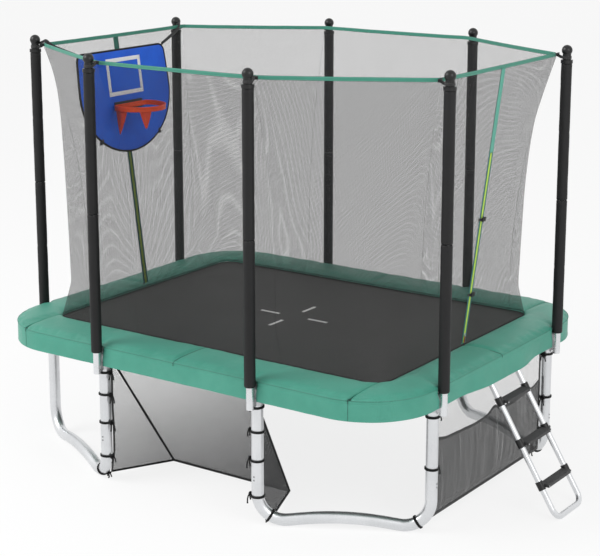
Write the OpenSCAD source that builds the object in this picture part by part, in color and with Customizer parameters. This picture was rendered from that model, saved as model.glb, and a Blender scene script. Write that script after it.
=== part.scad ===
/* [Frame] */
// Half length of the frame, centre to the axis of the short rail
frame_half_x = 1487; // [1400:1:1600]
// Half width of the frame, centre to the axis of the long rail
frame_half_y = 1213; // [1150:1:1300]
// Height of the frame rail's axis above the ground
frame_z = 860; // [840:1:880]
// Outside radius of the frame rail tube
rail_r = 32; // [28:0.5:34]
// Radius of the frame corner, at the tube's axis
corner_r = 440; // [400:1:460]
// Wall of every frame tube
wall = 2; // [1.5:0.5:3]

/* [Legs] */
// Offset of the two legs on a long rail from its middle
leg_x = 589; // [560:1:620]
// Offset of the two legs on a short rail from its middle
leg_y = 728; // [700:1:745]
// Outside radius of the leg tube
leg_r = 36.5; // [35:0.5:38]
// Height of the top of the leg post
post_top_z = 748; // [730:1:760]
// Height of the joint between the leg post and the leg base
joint_z = 264; // [240:1:300]
// Radius of the bend at the foot of each leg
foot_bend_r = 160; // [150:1:180]
// Rise of the leg base from its low point towards its middle, in degrees
foot_rise = 8; // [5:0.5:10]

/* [Poles] */
// Distance from the frame rail's axis out to the pole's axis
pole_out = 70; // [70:1:80]
// Outside radius of the bare pole
pole_r = 23; // [20:0.5:24]
// Outside radius of the foam sleeve on the pole
foam_r = 34.5; // [32:0.5:34.5]
// Height of the bottom of the pole
pole_bottom_z = 734; // [720:1:745]
// Height of the bottom of the foam sleeve
foam_bottom_z = 872; // [860:1:890]
// Height of the seam between the lower and upper foam sleeves
foam_seam_z = 1743; // [1600:1:1850]
// Height of the centre of the ball on the pole cap
ball_z = 2690; // [2650:1:2720]
// Radius of the ball on the pole cap
ball_r = 33.5; // [30:0.5:35]

/* [Mat and pad] */
// Height of the top of the jumping mat
mat_top_z = 900; // [898:1:900]
// Thickness of the jumping mat
mat_t = 3; // [2:0.5:4]
// Half length of the mat
mat_half_x = 1275; // [1265:1:1290]
// Half width of the mat
mat_half_y = 1000; // [960:1:1010]
// Half length of the pad's inner opening
pad_in_x = 1261; // [1240:1:1270]
// Half width of the pad's inner opening
pad_in_y = 925; // [900:1:940]
// Half length of the pad over its outer edge
pad_out_x = 1546; // [1540:1:1550]
// Half width of the pad over its outer edge
pad_out_y = 1260; // [1255:1:1264]
// Height of the highest line of the pad
pad_crown_z = 933; // [925:1:940]
// Height of the lower edge of the skirt
skirt_bottom_z = 781; // [775:1:790]
// Number of springs on a long side
springs_long = 18; // [12:2:24]
// Number of springs on a short side
springs_short = 14; // [10:2:18]

/* [Net] */
// Height of the top edge of the net
net_top_z = 2648; // [2600:1:2650]
// Height at which the net is drawn in furthest
net_waist_z = 1130; // [1100:1:1300]
// Thickness of the net panels
net_t = 3; // [2:0.5:3]
// Width of the band along the net's top edge
band_w = 25; // [20:1:30]

/* [Backboard and hoop] */
// Width of the backboard at its top edge
board_w = 900; // [800:5:940]
// Height of the backboard
board_h = 700; // [650:5:720]
// Thickness of the backboard
board_t = 15; // [12:1:16]
// Outside radius of the hoop
hoop_r = 184; // [170:1:190]
// Height of the top edge of the hoop's band
hoop_top_z = 2202; // [2180:1:2220]
// Width of the hoop's band
hoop_band = 35; // [30:1:40]

/* [Ladder] */
// Spacing of the ladder's rails, between their axes
ladder_w = 338; // [320:2:360]
// Outside radius of the ladder's tube
ladder_r = 18; // [16:0.5:18]
// Lean of the ladder from upright, in degrees
ladder_lean = 31.5; // [31:0.1:32]
// Spacing of the ladder's steps in height
step_rise = 235; // [225:1:240]

/* [Nets under the frame] */
// Half width of the goal net along its back edge on the ground
goal_half_x = 458; // [420:1:480]
// Distance from the frame's middle to the goal net's back edge on the ground
goal_back_y = 706; // [690:1:800]
// Height of the bottom edge of the storage net
bag_bottom_z = 72; // [60:1:90]
// Height of the storage net's open front edge at its ends
bag_mouth_z = 557; // [540:1:570]

/* [Hidden] */

$fn = 48;
gap = 0.3;
eps = 1;

// Places of the legs and poles: [x, y, direction outwards], going round from the near left leg.
leg_spots = [
    [-leg_x, -frame_half_y, -90], [leg_x, -frame_half_y, -90],
    [frame_half_x, -leg_y, 0], [frame_half_x, leg_y, 0],
    [leg_x, frame_half_y, 90], [-leg_x, frame_half_y, 90],
    [-frame_half_x, leg_y, 180], [-frame_half_x, -leg_y, 180]
];

socket_r = leg_r - wall - gap;
socket_len = 170;
spigot_len = 66;

module tube(r, h, t = wall) {
    difference() {
        cylinder(r = r, h = h);
        translate([0, 0, -eps]) cylinder(r = r - t, h = h + 2 * eps);
    }
}

module at_legs(first = 0, last = 7) {
    for (i = [first:last])
        translate([leg_spots[i][0], leg_spots[i][1], 0]) rotate([0, 0, leg_spots[i][2]]) children();
}

// ---- Frame ----

// A straight rail along X with the two welded leg sockets below it.
module rail(half_len, socket_x) {
    color("silver") translate([0, 0, frame_z]) difference() {
        union() {
            rotate([0, 90, 0]) cylinder(r = rail_r, h = 2 * half_len, center = true);
            for (s = [-1, 1])
                translate([s * socket_x, 0, -socket_len]) cylinder(r = socket_r, h = socket_len);
        }
        rotate([0, 90, 0]) cylinder(r = rail_r - wall, h = 2 * half_len + 2 * eps, center = true);
        for (s = [-1, 1])
            translate([s * socket_x, 0, -socket_len - eps]) cylinder(r = socket_r - wall, h = socket_len);
    }
}

module frame_rail_near() translate([0, -frame_half_y, 0]) rail(frame_half_x - corner_r - gap, leg_x);
module frame_rail_far() translate([0, frame_half_y, 0]) rail(frame_half_x - corner_r - gap, leg_x);
module frame_rail_right()
    translate([frame_half_x, 0, 0]) rotate([0, 0, 90]) rail(frame_half_y - corner_r - gap, leg_y);
module frame_rail_left()
    translate([-frame_half_x, 0, 0]) rotate([0, 0, 90]) rail(frame_half_y - corner_r - gap, leg_y);

// The reduced end of a tube of radius r that plugs into the next tube, starting from its end face.
module swage(r, len) {
    end_r = r - wall - gap;
    difference() {
        union() {
            translate([0, 0, -wall]) cylinder(r = r - wall / 2, h = wall);
            cylinder(r = end_r, h = len);
        }
        translate([0, 0, -wall - eps]) cylinder(r = end_r - wall, h = len + wall + 2 * eps);
    }
}

// A bent corner tube whose swaged ends plug into the rails.
swage_len = 60;
module corner_tube() {
    difference() {
        rotate_extrude(angle = 90) translate([corner_r, 0]) circle(r = rail_r);
        rotate([0, 0, -eps])
            rotate_extrude(angle = 90 + 2 * eps) translate([corner_r, 0]) circle(r = rail_r - wall);
    }
    translate([corner_r, 0, 0]) rotate([90, 0, 0]) swage(rail_r, swage_len);
    translate([0, corner_r, 0]) rotate([0, -90, 0]) swage(rail_r, swage_len);
}

module frame_corners() color("silver")
    for (sx = [0, 1], sy = [0, 1]) mirror([sx, 0, 0]) mirror([0, sy, 0])
        translate([frame_half_x - corner_r, frame_half_y - corner_r, frame_z]) corner_tube();

// ---- Legs ----

base_len = norm([frame_half_x - leg_x, frame_half_y - leg_y]);
base_angle = atan2(frame_half_y - leg_y, frame_half_x - leg_x);
flat_cut = 0.5;
low_z = leg_r - flat_cut;
bend_z = low_z + foot_bend_r;
rise_x = foot_bend_r * (1 + sin(foot_rise));
rise_z = bend_z - foot_bend_r * cos(foot_rise);
middle_rise = 28.5;
half_run = base_len / 2 - rise_x;
// The straight slope and the middle arc together climb middle_rise over half_run.
arch_r = (half_run * sin(foot_rise) - middle_rise * cos(foot_rise)) / (1 - cos(foot_rise));
slope_len = (half_run - arch_r * sin(foot_rise)) / cos(foot_rise);
slope_x = rise_x + slope_len * cos(foot_rise);
slope_z = rise_z + slope_len * sin(foot_rise);

// Neighbouring lengths of a bent tube stop short of each other by this much and meet in a ball.
seam = 0.02;
module bend_ball(r) sphere(r = r - wall / 2);

// Half of the leg base in its own plane: X runs along the ground to the middle, r is the tube's radius.
module half_base(r) {
    translate([0, 0, bend_z + seam]) cylinder(r = r, h = joint_z - bend_z - seam);
    translate([0, 0, bend_z]) bend_ball(r);
    translate([foot_bend_r, 0, bend_z]) rotate([90, 0, 0]) rotate([0, 0, 180])
        rotate_extrude(angle = 90 + foot_rise) translate([foot_bend_r, 0]) circle(r = r);
    translate([rise_x, 0, rise_z]) {
        bend_ball(r);
        rotate([0, 90 - foot_rise, 0]) translate([0, 0, seam]) cylinder(r = r, h = slope_len - 2 * seam);
    }
    translate([slope_x, 0, slope_z]) bend_ball(r);
}

module whole_base(r) {
    half_base(r);
    translate([base_len, 0, 0]) mirror([1, 0, 0]) half_base(r);
    translate([base_len / 2, 0, slope_z - arch_r * cos(foot_rise)]) rotate([90, 0, 0])
        rotate([0, 0, 90 - foot_rise])
        rotate_extrude(angle = 2 * foot_rise) translate([arch_r, 0]) circle(r = r);
}

module leg_base() color("silver") {
    difference() {
        whole_base(leg_r);
        whole_base(leg_r - wall);
        translate([0, -leg_r, -leg_r]) cube([base_len, 2 * leg_r, leg_r]);
    }
    for (x = [0, base_len]) translate([x, 0, joint_z]) swage(leg_r, spigot_len);
}

module leg_base_near_left()
    translate([-leg_x, -frame_half_y, 0]) rotate([0, 0, 180 - base_angle]) leg_base();
module leg_base_near_right()
    translate([leg_x, -frame_half_y, 0]) rotate([0, 0, base_angle]) leg_base();
module leg_base_far_right()
    translate([leg_x, frame_half_y, 0]) rotate([0, 0, -base_angle]) leg_base();
module leg_base_far_left()
    translate([-leg_x, frame_half_y, 0]) rotate([0, 0, 180 + base_angle]) leg_base();

module leg_posts() color("silver")
    at_legs() translate([0, 0, joint_z + gap]) tube(leg_r, post_top_z - joint_z - gap);

// ---- Poles ----

clamp_z = post_top_z + 4;
clamp_h = 56;
clamp_wall = 4.5;
clamp_link = 40;
link_from = socket_r + 0.7;
link_to = pole_out - 8;
link_h = 112;
clamp_bolt_z = clamp_z + 48;

// A collar round the leg socket with a saddle block that the pole is welded against.
module pole_clamps() color("darkgray")
    at_legs() translate([0, 0, clamp_z]) difference() {
        union() {
            cylinder(r = socket_r + clamp_wall, h = clamp_h);
            translate([link_from, -clamp_link / 2, 0]) cube([link_to - link_from, clamp_link, link_h]);
        }
        translate([0, 0, -eps]) cylinder(r = socket_r + 0.05, h = clamp_h + 2 * eps);
        translate([pole_out, 0, -eps]) cylinder(r = pole_r + 0.05, h = link_h + 2 * eps);
        translate([(socket_r + pole_out - pole_r) / 2, 0, clamp_bolt_z - clamp_z]) rotate([90, 0, 0])
            cylinder(r = 3.6, h = 2 * clamp_link, center = true);
    }

module clamp_bolts() color("dimgray")
    at_legs() translate([(socket_r + pole_out - pole_r) / 2, 0, clamp_bolt_z]) rotate([90, 0, 0]) {
        cylinder(r = 3.4, h = clamp_link + 14, center = true);
        for (s = [-1, 1]) translate([0, 0, s * (clamp_link / 2 + 3.2)]) cylinder(r = 7, h = 6, center = true);
    }

// Two pan head screws above each leg joint, driven into the spigot inside.
screw_zs = [22, 44];
module leg_screws() color("dimgray")
    at_legs() for (z = screw_zs) translate([leg_r + 0.1, 0, joint_z + z]) rotate([0, 90, 0])
        cylinder(r1 = 5.5, r2 = 4, h = 2.4);

module bolts_and_screws() {
    clamp_bolts();
    leg_screws();
}

pole_top_z = ball_z - 62;
module pole_tubes() {
    color("gainsboro") translate([pole_out, 0, 0]) {
        translate([0, 0, pole_bottom_z]) tube(pole_r, foam_seam_z - pole_bottom_z);
        difference() {
            union() {
                translate([0, 0, foam_seam_z + gap]) cylinder(r = pole_r, h = pole_top_z - foam_seam_z);
                translate([0, 0, foam_seam_z - spigot_len])
                    cylinder(r = pole_r - wall - gap, h = spigot_len + wall);
            }
            translate([0, 0, foam_seam_z - spigot_len - eps])
                cylinder(r = pole_r - 2 * wall - gap, h = pole_top_z);
        }
    }
}

module pole_near_left() at_legs(0, 0) pole_tubes();
module pole_near_right() at_legs(1, 1) pole_tubes();
module pole_right_near() at_legs(2, 2) pole_tubes();
module pole_right_far() at_legs(3, 3) pole_tubes();
module pole_far_right() at_legs(4, 4) pole_tubes();
module pole_far_left() at_legs(5, 5) pole_tubes();
module pole_left_far() at_legs(6, 6) pole_tubes();
module pole_left_near() at_legs(7, 7) pole_tubes();

collar_low = 80;
collar_high = 59;
neck_r = 26;
collar_r = 37.5;

module foam(z_low, z_high)
    translate([pole_out, 0, z_low]) tube(foam_r, z_high - z_low, foam_r - pole_r - gap);
module foam_lower() color([0.13, 0.13, 0.13]) at_legs() foam(foam_bottom_z, foam_seam_z - 1);
module foam_upper() color([0.13, 0.13, 0.13]) at_legs() foam(foam_seam_z + 1, ball_z - collar_low - gap);

// A moulded cap: a socket collar over the pole, a neck for the net strap and a ball on top.
module pole_caps() color([0.08, 0.08, 0.08])
    at_legs() translate([pole_out, 0, ball_z]) difference() {
        union() {
            sphere(r = ball_r);
            translate([0, 0, -collar_high - eps]) cylinder(r = neck_r, h = collar_high);
            translate([0, 0, -collar_low]) cylinder(r = collar_r, h = collar_low - collar_high);
        }
        translate([0, 0, -collar_low - eps])
            cylinder(r = pole_r + 0.1, h = collar_low - 62 + 1.5 * eps);
    }

// ---- Mat and springs ----

// Point of a rounded rectangle's corner quadrant, from [x0, -b] round the corner to [a, -y0], at share s.
function corner_point(a, b, r, x0, y0, s) =
    let (side = a - r - x0, arc = r * PI / 2, end = b - r - y0, d = s * (side + arc + end))
    d <= side ? [x0 + d, -b]
    : d <= side + arc
        ? let (w = (d - side) / r * 180 / PI) [a - r + r * sin(w), -(b - r) - r * cos(w)]
        : [a, -(b - r) + d - side - arc];

function rounded(a, b, r, steps = 10) = [
    for (q = [0:3], i = [0:steps])
        let (
            w = q * 90 + i * 90 / steps,
            cx = (q == 0 || q == 3 ? 1 : -1) * (a - r),
            cy = (q < 2 ? 1 : -1) * (b - r)
        ) [cx + r * cos(w), cy + r * sin(w)]
];

mat_corner_r = 200;
module mat() color([0.24, 0.24, 0.23])
    translate([0, 0, mat_top_z - mat_t]) linear_extrude(mat_t)
        polygon(rounded(mat_half_x, mat_half_y, mat_corner_r));

spring_z = frame_z + 26;
spring_r = 9;
hook_r = 2.5;
spring_reach = 181;

// Places of the springs: [x, y, direction outwards] of the spot where each meets the mat.
long_pitch = 2 * (mat_half_x - mat_corner_r) / springs_long;
short_pitch = 2 * (mat_half_y - mat_corner_r) / springs_short;
corner_springs = 3;
spring_spots = concat(
    [for (s = [-1, 1], i = [0:springs_long - 1])
        [-(mat_half_x - mat_corner_r) + (i + 0.5) * long_pitch, s * mat_half_y, s * 90]],
    [for (s = [-1, 1], i = [0:springs_short - 1])
        [s * mat_half_x, -(mat_half_y - mat_corner_r) + (i + 0.5) * short_pitch, s > 0 ? 0 : 180]],
    [for (q = [0:3], i = [1:corner_springs])
        let (
            w = i * 90 / (corner_springs + 1),
            sx = q == 0 || q == 3 ? 1 : -1, sy = q < 2 ? 1 : -1,
            ex = mat_half_x - mat_corner_r, ey = mat_half_y - mat_corner_r
        ) [sx * (ex + mat_corner_r * cos(w)), sy * (ey + mat_corner_r * sin(w)), atan2(sy * sin(w), sx * cos(w))]]
);
ring_len = 24;
ring_t = 3.5;
spring_start = 12;
spring_body = 122;

module at_springs() for (p = spring_spots) translate([p[0], p[1], 0]) rotate([0, 0, p[2]]) children();

module springs() color("gray")
    at_springs() translate([spring_start, 0, spring_z]) rotate([0, 90, 0]) {
        translate([0, 0, 20]) cylinder(r = spring_r, h = spring_body, $fn = 16);
        cylinder(r = hook_r, h = spring_reach - spring_start, $fn = 16);
    }

// Wire rings sewn under the mat's edge for the spring hooks.
module mat_rings() color("dimgray")
    at_springs() translate([-8, -12, mat_top_z - mat_t - 0.05 - ring_t]) difference() {
        cube([ring_len, 24, ring_t]);
        translate([6, 4, -eps]) cube([ring_len - 10, 16, ring_t + 2 * eps]);
    }

// ---- Pad and skirt ----

pad_low_z = mat_top_z + 1.2;
pad_in_z = 917;
pad_out_z = 905;
pad_in_r = 100;
pad_out_r = 448;
seam_x = 1235;
dent_side = 27.5;
dent_long = 16.5;
dent_half = 52;
// The dent is cut with a line of points at these distances from its middle.
dent_marks = [-52, -36, -24, -12, 0, 12, 24, 36, 52];

function bump(d, half) = abs(d) >= half ? 0 : (1 + cos(180 * d / half)) / 2;
function dent(t, spots, depth) = max([for (p = spots) bump(t - p, dent_half)]) * depth;

// Where the long and the short pads are measured along their straight edge.
function marks(half, spot) = [
    -half,
    if (0.78 * half > spot + dent_half) -0.78 * half,
    for (k = dent_marks) -spot + k,
    -0.35 * half, -0.14 * half, -20, 0, 20, 0.14 * half, 0.35 * half,
    for (k = dent_marks) spot + k,
    if (0.78 * half > spot + dent_half) 0.78 * half,
    half
];

arc_steps = 6;
right_marks = marks(pad_out_y - pad_out_r, leg_y);
near_marks = marks(pad_out_x - pad_out_r, leg_x);
in_ratio_y = (pad_in_y - pad_in_r) / (pad_out_y - pad_out_r);
in_ratio_x = (pad_in_x - pad_in_r) / (pad_out_x - pad_out_r);

function arc_part(a, b, r, from, to) = [
    for (i = [0:arc_steps - 1])
        let (w = from + (to - from) * i / arc_steps) [a - r + r * sin(w), -(b - r) - r * cos(w)]
];

function flip_y(list) = [for (i = [len(list) - 1:-1:0]) [list[i][0], -list[i][1]]];
function flip_x(list) = [for (i = [len(list) - 1:-1:0]) [-list[i][0], list[i][1]]];

function seam_angle(a, r) = asin((seam_x - (a - r)) / r);

right_inner = let (part = arc_part(pad_in_x, pad_in_y, pad_in_r, seam_angle(pad_in_x, pad_in_r), 90))
    concat(part, [for (y = right_marks) [pad_in_x, y * in_ratio_y]], flip_y(part));
right_outer = let (part = arc_part(pad_out_x, pad_out_y, pad_out_r, seam_angle(pad_out_x, pad_out_r), 90))
    concat(part, [for (y = right_marks) [pad_out_x - dent(y, [-leg_y, leg_y], dent_side), y]], flip_y(part));
near_inner = let (part = flip_part(pad_in_x, pad_in_y, pad_in_r))
    concat(part, [for (x = near_marks) [x * in_ratio_x, -pad_in_y]], flip_x(part));
near_outer = let (part = flip_part(pad_out_x, pad_out_y, pad_out_r))
    concat(part, [for (x = near_marks) [x, -pad_out_y + dent(x, [-leg_x, leg_x], dent_long)]], flip_x(part));

// The near pad starts at its left seam and runs along the arc to the straight edge.
function flip_part(a, b, r) = [
    for (i = [0:arc_steps - 1])
        let (w = seam_angle(a, r) * (1 - i / arc_steps)) [-(a - r) - r * sin(w), -(b - r) - r * cos(w)]
];

pad_rows = [0, 0.03, 0.12, 0.3, 0.5, 0.7, 0.86, 0.96, 1];
pad_seam_depth = 9;

// Height of the pad's top at share q across it and share p along it.
function pad_height(q, p) =
    let (
        edge = pad_in_z + (pad_out_z - pad_in_z) * q,
        crown = (pad_crown_z - (pad_in_z + pad_out_z) / 2) * pow(sin(180 * q), 0.7),
        roll = 9 * pow(1 - min(1, q / 0.05), 2) + 3 * pow(1 - min(1, (1 - q) / 0.08), 2),
        ends = 1 - 0.55 * pow(abs(2 * p - 1), 24)
    ) edge + crown * ends - roll;

// A crowned pad between an inner and an outer edge line, flat underneath.
module pad_form(inner, outer) {
    n = len(inner);
    m = len(pad_rows);
    middle = (n - 1) / 2;
    top = [
        for (i = [0:n - 1], j = [0:m - 1])
            let (
                q = pad_rows[j],
                p = inner[i] + (outer[i] - inner[i]) * q,
                groove = abs(i - middle) < 0.5 ? pad_seam_depth * sin(180 * min(1, max(0, q * 1.05))) : 0
            ) [p[0], p[1], pad_height(q, i / (n - 1)) - groove]
    ];
    low = [for (i = [0:n - 1], e = [0, 1]) let (p = e == 0 ? inner[i] : outer[i]) [p[0], p[1], pad_low_z]];
    base = n * m;
    faces = concat(
        [for (i = [0:n - 2], j = [0:m - 2]) each [
            [i * m + j, (i + 1) * m + j, (i + 1) * m + j + 1],
            [i * m + j, (i + 1) * m + j + 1, i * m + j + 1]
        ]],
        [for (i = [0:n - 2]) each [
            [base + 2 * i, base + 2 * i + 1, base + 2 * i + 3],
            [base + 2 * i, base + 2 * i + 3, base + 2 * i + 2],
            [base + 2 * i, base + 2 * i + 2, (i + 1) * m],
            [base + 2 * i, (i + 1) * m, i * m],
            [base + 2 * i + 1, i * m + m - 1, (i + 1) * m + m - 1],
            [base + 2 * i + 1, (i + 1) * m + m - 1, base + 2 * i + 3]
        ]],
        [[for (j = [0:m - 1]) j, base + 1, base]],
        [[base + 2 * (n - 1), base + 2 * (n - 1) + 1, for (j = [m - 1:-1:0]) (n - 1) * m + j]]
    );
    polyhedron(points = concat(top, low), faces = faces, convexity = 4);
}

pad_green = [0.33, 0.65, 0.56];
module pad_near() color(pad_green) pad_form(near_inner, near_outer);
module pad_right() color(pad_green) pad_form(right_inner, right_outer);
module pad_far() color(pad_green) rotate([0, 0, 180]) pad_form(near_inner, near_outer);
module pad_left() color(pad_green) rotate([0, 0, 180]) pad_form(right_inner, right_outer);

skirt_t = 2.5;
skirt_top_z = pad_low_z - 3;
skirt_stop_long = 28;
skirt_stop_short = 34;
flap_stop = 40;

// A straight hanging panel of the skirt along X, centred, its outer face at y = 0.
module skirt_panel(half) color(pad_green)
    translate([-half, 0, skirt_bottom_z]) cube([2 * half, skirt_t, skirt_top_z - skirt_bottom_z]);

module skirt_near() translate([0, -pad_out_y, 0]) skirt_panel(leg_x - skirt_stop_long);
module skirt_far() translate([0, pad_out_y, 0]) rotate([0, 0, 180]) skirt_panel(leg_x - skirt_stop_long);
module skirt_left()
    translate([-pad_out_x, 0, 0]) rotate([0, 0, -90]) skirt_panel(leg_y - skirt_stop_short);

// The corner skirts run round each corner from pole to pole.
corner_cx = pad_out_x - pad_out_r;
corner_cy = pad_out_y - pad_out_r;
function quarter(r, steps = 16) =
    [for (i = [0:steps]) [corner_cx + r * cos(90 * i / steps), corner_cy + r * sin(90 * i / steps)]];
skirt_bend = concat(
    [[pad_out_x, leg_y + skirt_stop_short]], quarter(pad_out_r),
    [[leg_x + skirt_stop_long, pad_out_y], [leg_x + skirt_stop_long, pad_out_y - skirt_t]],
    let (inner = quarter(pad_out_r - skirt_t)) [for (i = [len(inner) - 1:-1:0]) inner[i]],
    [[pad_out_x - skirt_t, leg_y + skirt_stop_short]]
);
module skirt_corners() color(pad_green)
    for (sx = [0, 1], sy = [0, 1]) mirror([sx, 0, 0]) mirror([0, sy, 0])
        translate([0, 0, skirt_bottom_z]) linear_extrude(skirt_top_z - skirt_bottom_z) polygon(skirt_bend);

// The right panel stands out over the ladder's rails and swings up with them.
flap_half = leg_y - flap_stop;
flap_out = 42;
flap_ys = [-1, -0.75, -0.55, -0.4, -0.28, 0, 0.28, 0.4, 0.55, 0.75, 1];
flap_zs = [0, 0.35, 0.7, 1];
function flap_x(y, z) =
    pad_out_x + flap_out * pow(1 - z, 1.1) * (abs(y) < 0.28 ? 1 : pow(bump(abs(y) - 0.28, 0.5), 1.2));

module skirt_right() color(pad_green) {
    n = len(flap_ys);
    m = len(flap_zs);
    points = [for (e = [0, 1], i = [0:n - 1], j = [0:m - 1])
        [flap_x(flap_ys[i], flap_zs[j]) - skirt_t * e, flap_ys[i] * flap_half,
         skirt_bottom_z + flap_zs[j] * (skirt_top_z - skirt_bottom_z)]];
    shell(points, n, m);
}

// A closed thin shell over an n by m grid: the first n * m points are its outer face.
module shell(points, n, m) {
    h = n * m;
    function at(e, i, j) = e * h + i * m + j;
    faces = concat(
        [for (i = [0:n - 2], j = [0:m - 2]) each [
            [at(0, i, j), at(0, i, j + 1), at(0, i + 1, j + 1)],
            [at(0, i, j), at(0, i + 1, j + 1), at(0, i + 1, j)],
            [at(1, i, j), at(1, i + 1, j + 1), at(1, i, j + 1)],
            [at(1, i, j), at(1, i + 1, j), at(1, i + 1, j + 1)]
        ]],
        [for (i = [0:n - 2]) each [
            [at(0, i, 0), at(0, i + 1, 0), at(1, i + 1, 0)], [at(0, i, 0), at(1, i + 1, 0), at(1, i, 0)],
            [at(0, i, m - 1), at(1, i + 1, m - 1), at(0, i + 1, m - 1)],
            [at(0, i, m - 1), at(1, i, m - 1), at(1, i + 1, m - 1)]
        ]],
        [for (j = [0:m - 2]) each [
            [at(0, 0, j), at(1, 0, j), at(1, 0, j + 1)], [at(0, 0, j), at(1, 0, j + 1), at(0, 0, j + 1)],
            [at(0, n - 1, j), at(1, n - 1, j + 1), at(1, n - 1, j)],
            [at(0, n - 1, j), at(0, n - 1, j + 1), at(1, n - 1, j + 1)]
        ]]
    );
    polyhedron(points = points, faces = faces, convexity = 6);
}

// ---- Net ----

band_in = 67;
top_x = frame_half_x + pole_out - band_in;
top_y = frame_half_y + pole_out - band_in;
top_leg_x = leg_x - 12;
top_leg_y = leg_y - 13;
waist_x = 1290;
waist_y = 958;
waist_r = 360;
waist_leg_x = 540;
waist_leg_y = 560;
low_x = pad_in_x - 2;
low_y = pad_in_y - 2;
low_r = pad_in_r - 2;
low_leg_x = 560;
low_leg_y = 640;
net_low_z = pad_in_z + 3;
column_pull = 2.2;

// Heights of the net's rows, closer together at the top and below the waist.
net_rows = [for (t = [0, 0.05, 0.11, 0.19, 0.3, 0.45, 0.62, 0.8, 1]) net_top_z + (net_waist_z - net_top_z) * t,
            for (t = [0.4, 0.75, 1]) net_waist_z + (net_low_z - net_waist_z) * t];

// A point of the net from its top, waist and low outlines; side is 0 in mid panel and 1 at a pole.
function net_point(top, waist, low, side, z) =
    let (
        t = min(1, (net_top_z - z) / (net_top_z - net_waist_z)),
        w = t * (1 - side) + (1 - pow(1 - t, column_pull)) * side,
        s = max(0, (net_waist_z - z) / (net_waist_z - net_low_z)),
        high = top + (waist - top) * w
    ) high + (low - waist) * s;

corner_shares = [0, 0.14, 0.28, 0.39, 0.5, 0.61, 0.72, 0.86, 1];
side_shares = [-1, -0.75, -0.45, 0, 0.45, 0.75, 1];
edge_trim = 0.996;

function grow(p, dir) = [p[0] + dir[0] * net_t, p[1] + dir[1] * net_t];

module net_shell(columns, dir) {
    n = len(columns);
    m = len(net_rows);
    // columns: [top, waist, low, side]
    points = [for (e = [0, 1], c = columns, z = net_rows)
        let (p = net_point(c[0], c[1], c[2], c[3], z), q = e == 0 ? p : grow(p, dir)) [q[0], q[1], z]];
    shell(points, n, m);
}

net_grey = [0.62, 0.62, 0.62, 0.5];
near_columns = [for (s = side_shares) let (k = s * edge_trim)
    [[k * top_leg_x, -top_y], [k * waist_leg_x, -waist_y], [k * low_leg_x, -low_y], pow(abs(s), 2)]];
right_columns = [for (s = side_shares) let (k = s * edge_trim)
    [[top_x, k * top_leg_y], [waist_x, k * waist_leg_y], [low_x, k * low_leg_y], pow(abs(s), 4)]];
corner_columns = [for (s = corner_shares) let (k = 0.5 + (s - 0.5) * edge_trim)
    [[top_leg_x + (top_x - top_leg_x) * k, -top_y + (top_y - top_leg_y) * k],
     corner_point(waist_x, waist_y, waist_r, waist_leg_x, waist_leg_y, k),
     corner_point(low_x, low_y, low_r, low_leg_x, low_leg_y, k), pow(abs(2 * s - 1), 2)]];
corner_dir = let (v = [top_x - top_leg_x, top_y - top_leg_y]) [v[1], -v[0]] / norm(v);

module net_near() color(net_grey) net_shell(near_columns, [0, -1]);
module net_far() color(net_grey) rotate([0, 0, 180]) net_shell(near_columns, [0, -1]);
module net_right() color(net_grey) net_shell(right_columns, [1, 0]);
module net_left() color(net_grey) rotate([0, 0, 180]) net_shell(right_columns, [1, 0]);
module net_corners() color(net_grey)
    for (sx = [0, 1], sy = [0, 1]) mirror([sx, 0, 0]) mirror([0, sy, 0])
        net_shell(corner_columns, corner_dir);

function octagon(x, y, lx, ly) = [[-lx, -y], [lx, -y], [x, -ly], [x, ly], [lx, y], [-lx, y], [-x, ly], [-x, -ly]];
band_t = 3;
module top_band() color([0.2, 0.45, 0.35])
    translate([0, 0, net_top_z + 0.5]) linear_extrude(band_w) difference() {
        polygon(octagon(top_x + band_t, top_y + band_t, top_leg_x + 1, top_leg_y + 1));
        polygon(octagon(top_x, top_y, top_leg_x, top_leg_y));
    }

// A webbing loop round each cap's neck, with a tail back to the band.
loop_z = ball_z - 52;
loop_h = 16;
module net_loops() color([0.07, 0.07, 0.07])
    at_legs() translate([pole_out, 0, loop_z]) linear_extrude(loop_h) difference() {
        union() {
            circle(r = neck_r + 3);
            translate([-band_in + band_t + gap, -5]) square([band_in - neck_r, 10]);
        }
        circle(r = neck_r + 0.2);
    }

// ---- Door zippers ----

// The middle of each short side's net is a straight line: its tilt from upright.
net_tilt = atan2((top_x - waist_x), (net_top_z - net_waist_z));
zip_low_z = 932;
zip_top_z = net_top_z - 6;
zip_len = (zip_top_z - zip_low_z) / cos(net_tilt);
zip_w = 31;
zip_t = 2;
zip_out = net_t + 6;

// Local frame on the right net: origin on the net at z = 0 height line, Z up the net, X outwards.
module on_net(z) {
    x = top_x - (net_top_z - z) * tan(net_tilt);
    translate([x, 0, z]) rotate([0, net_tilt, 0]) children();
}

module door_zippers() color([0.6, 0.7, 0.25])
    for (s = [0, 1]) mirror([s, 0, 0]) on_net(zip_low_z)
        translate([zip_out, -zip_w / 2, 0]) cube([zip_t, zip_w, zip_len]);

slider_z = 978;
module zip_slider() on_net(slider_z) translate([zip_out + zip_t + 0.4, 0, 0]) {
    color("silver") translate([0, -7, 0]) cube([7, 14, 24]);
    color("red") translate([3, -5, -40]) cube([2.5, 10, 42]);
}
module zip_slider_right() zip_slider();
module zip_slider_left() mirror([1, 0, 0]) zip_slider();

// Side release buckles across the right door: a hollow socket and a sliding tongue.
buckle_zs = [1255, 1733];
buckle_off = zip_out + zip_t + 9;
buckle_w = 26;
buckle_t = 9;
socket_l = 28;

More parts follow.
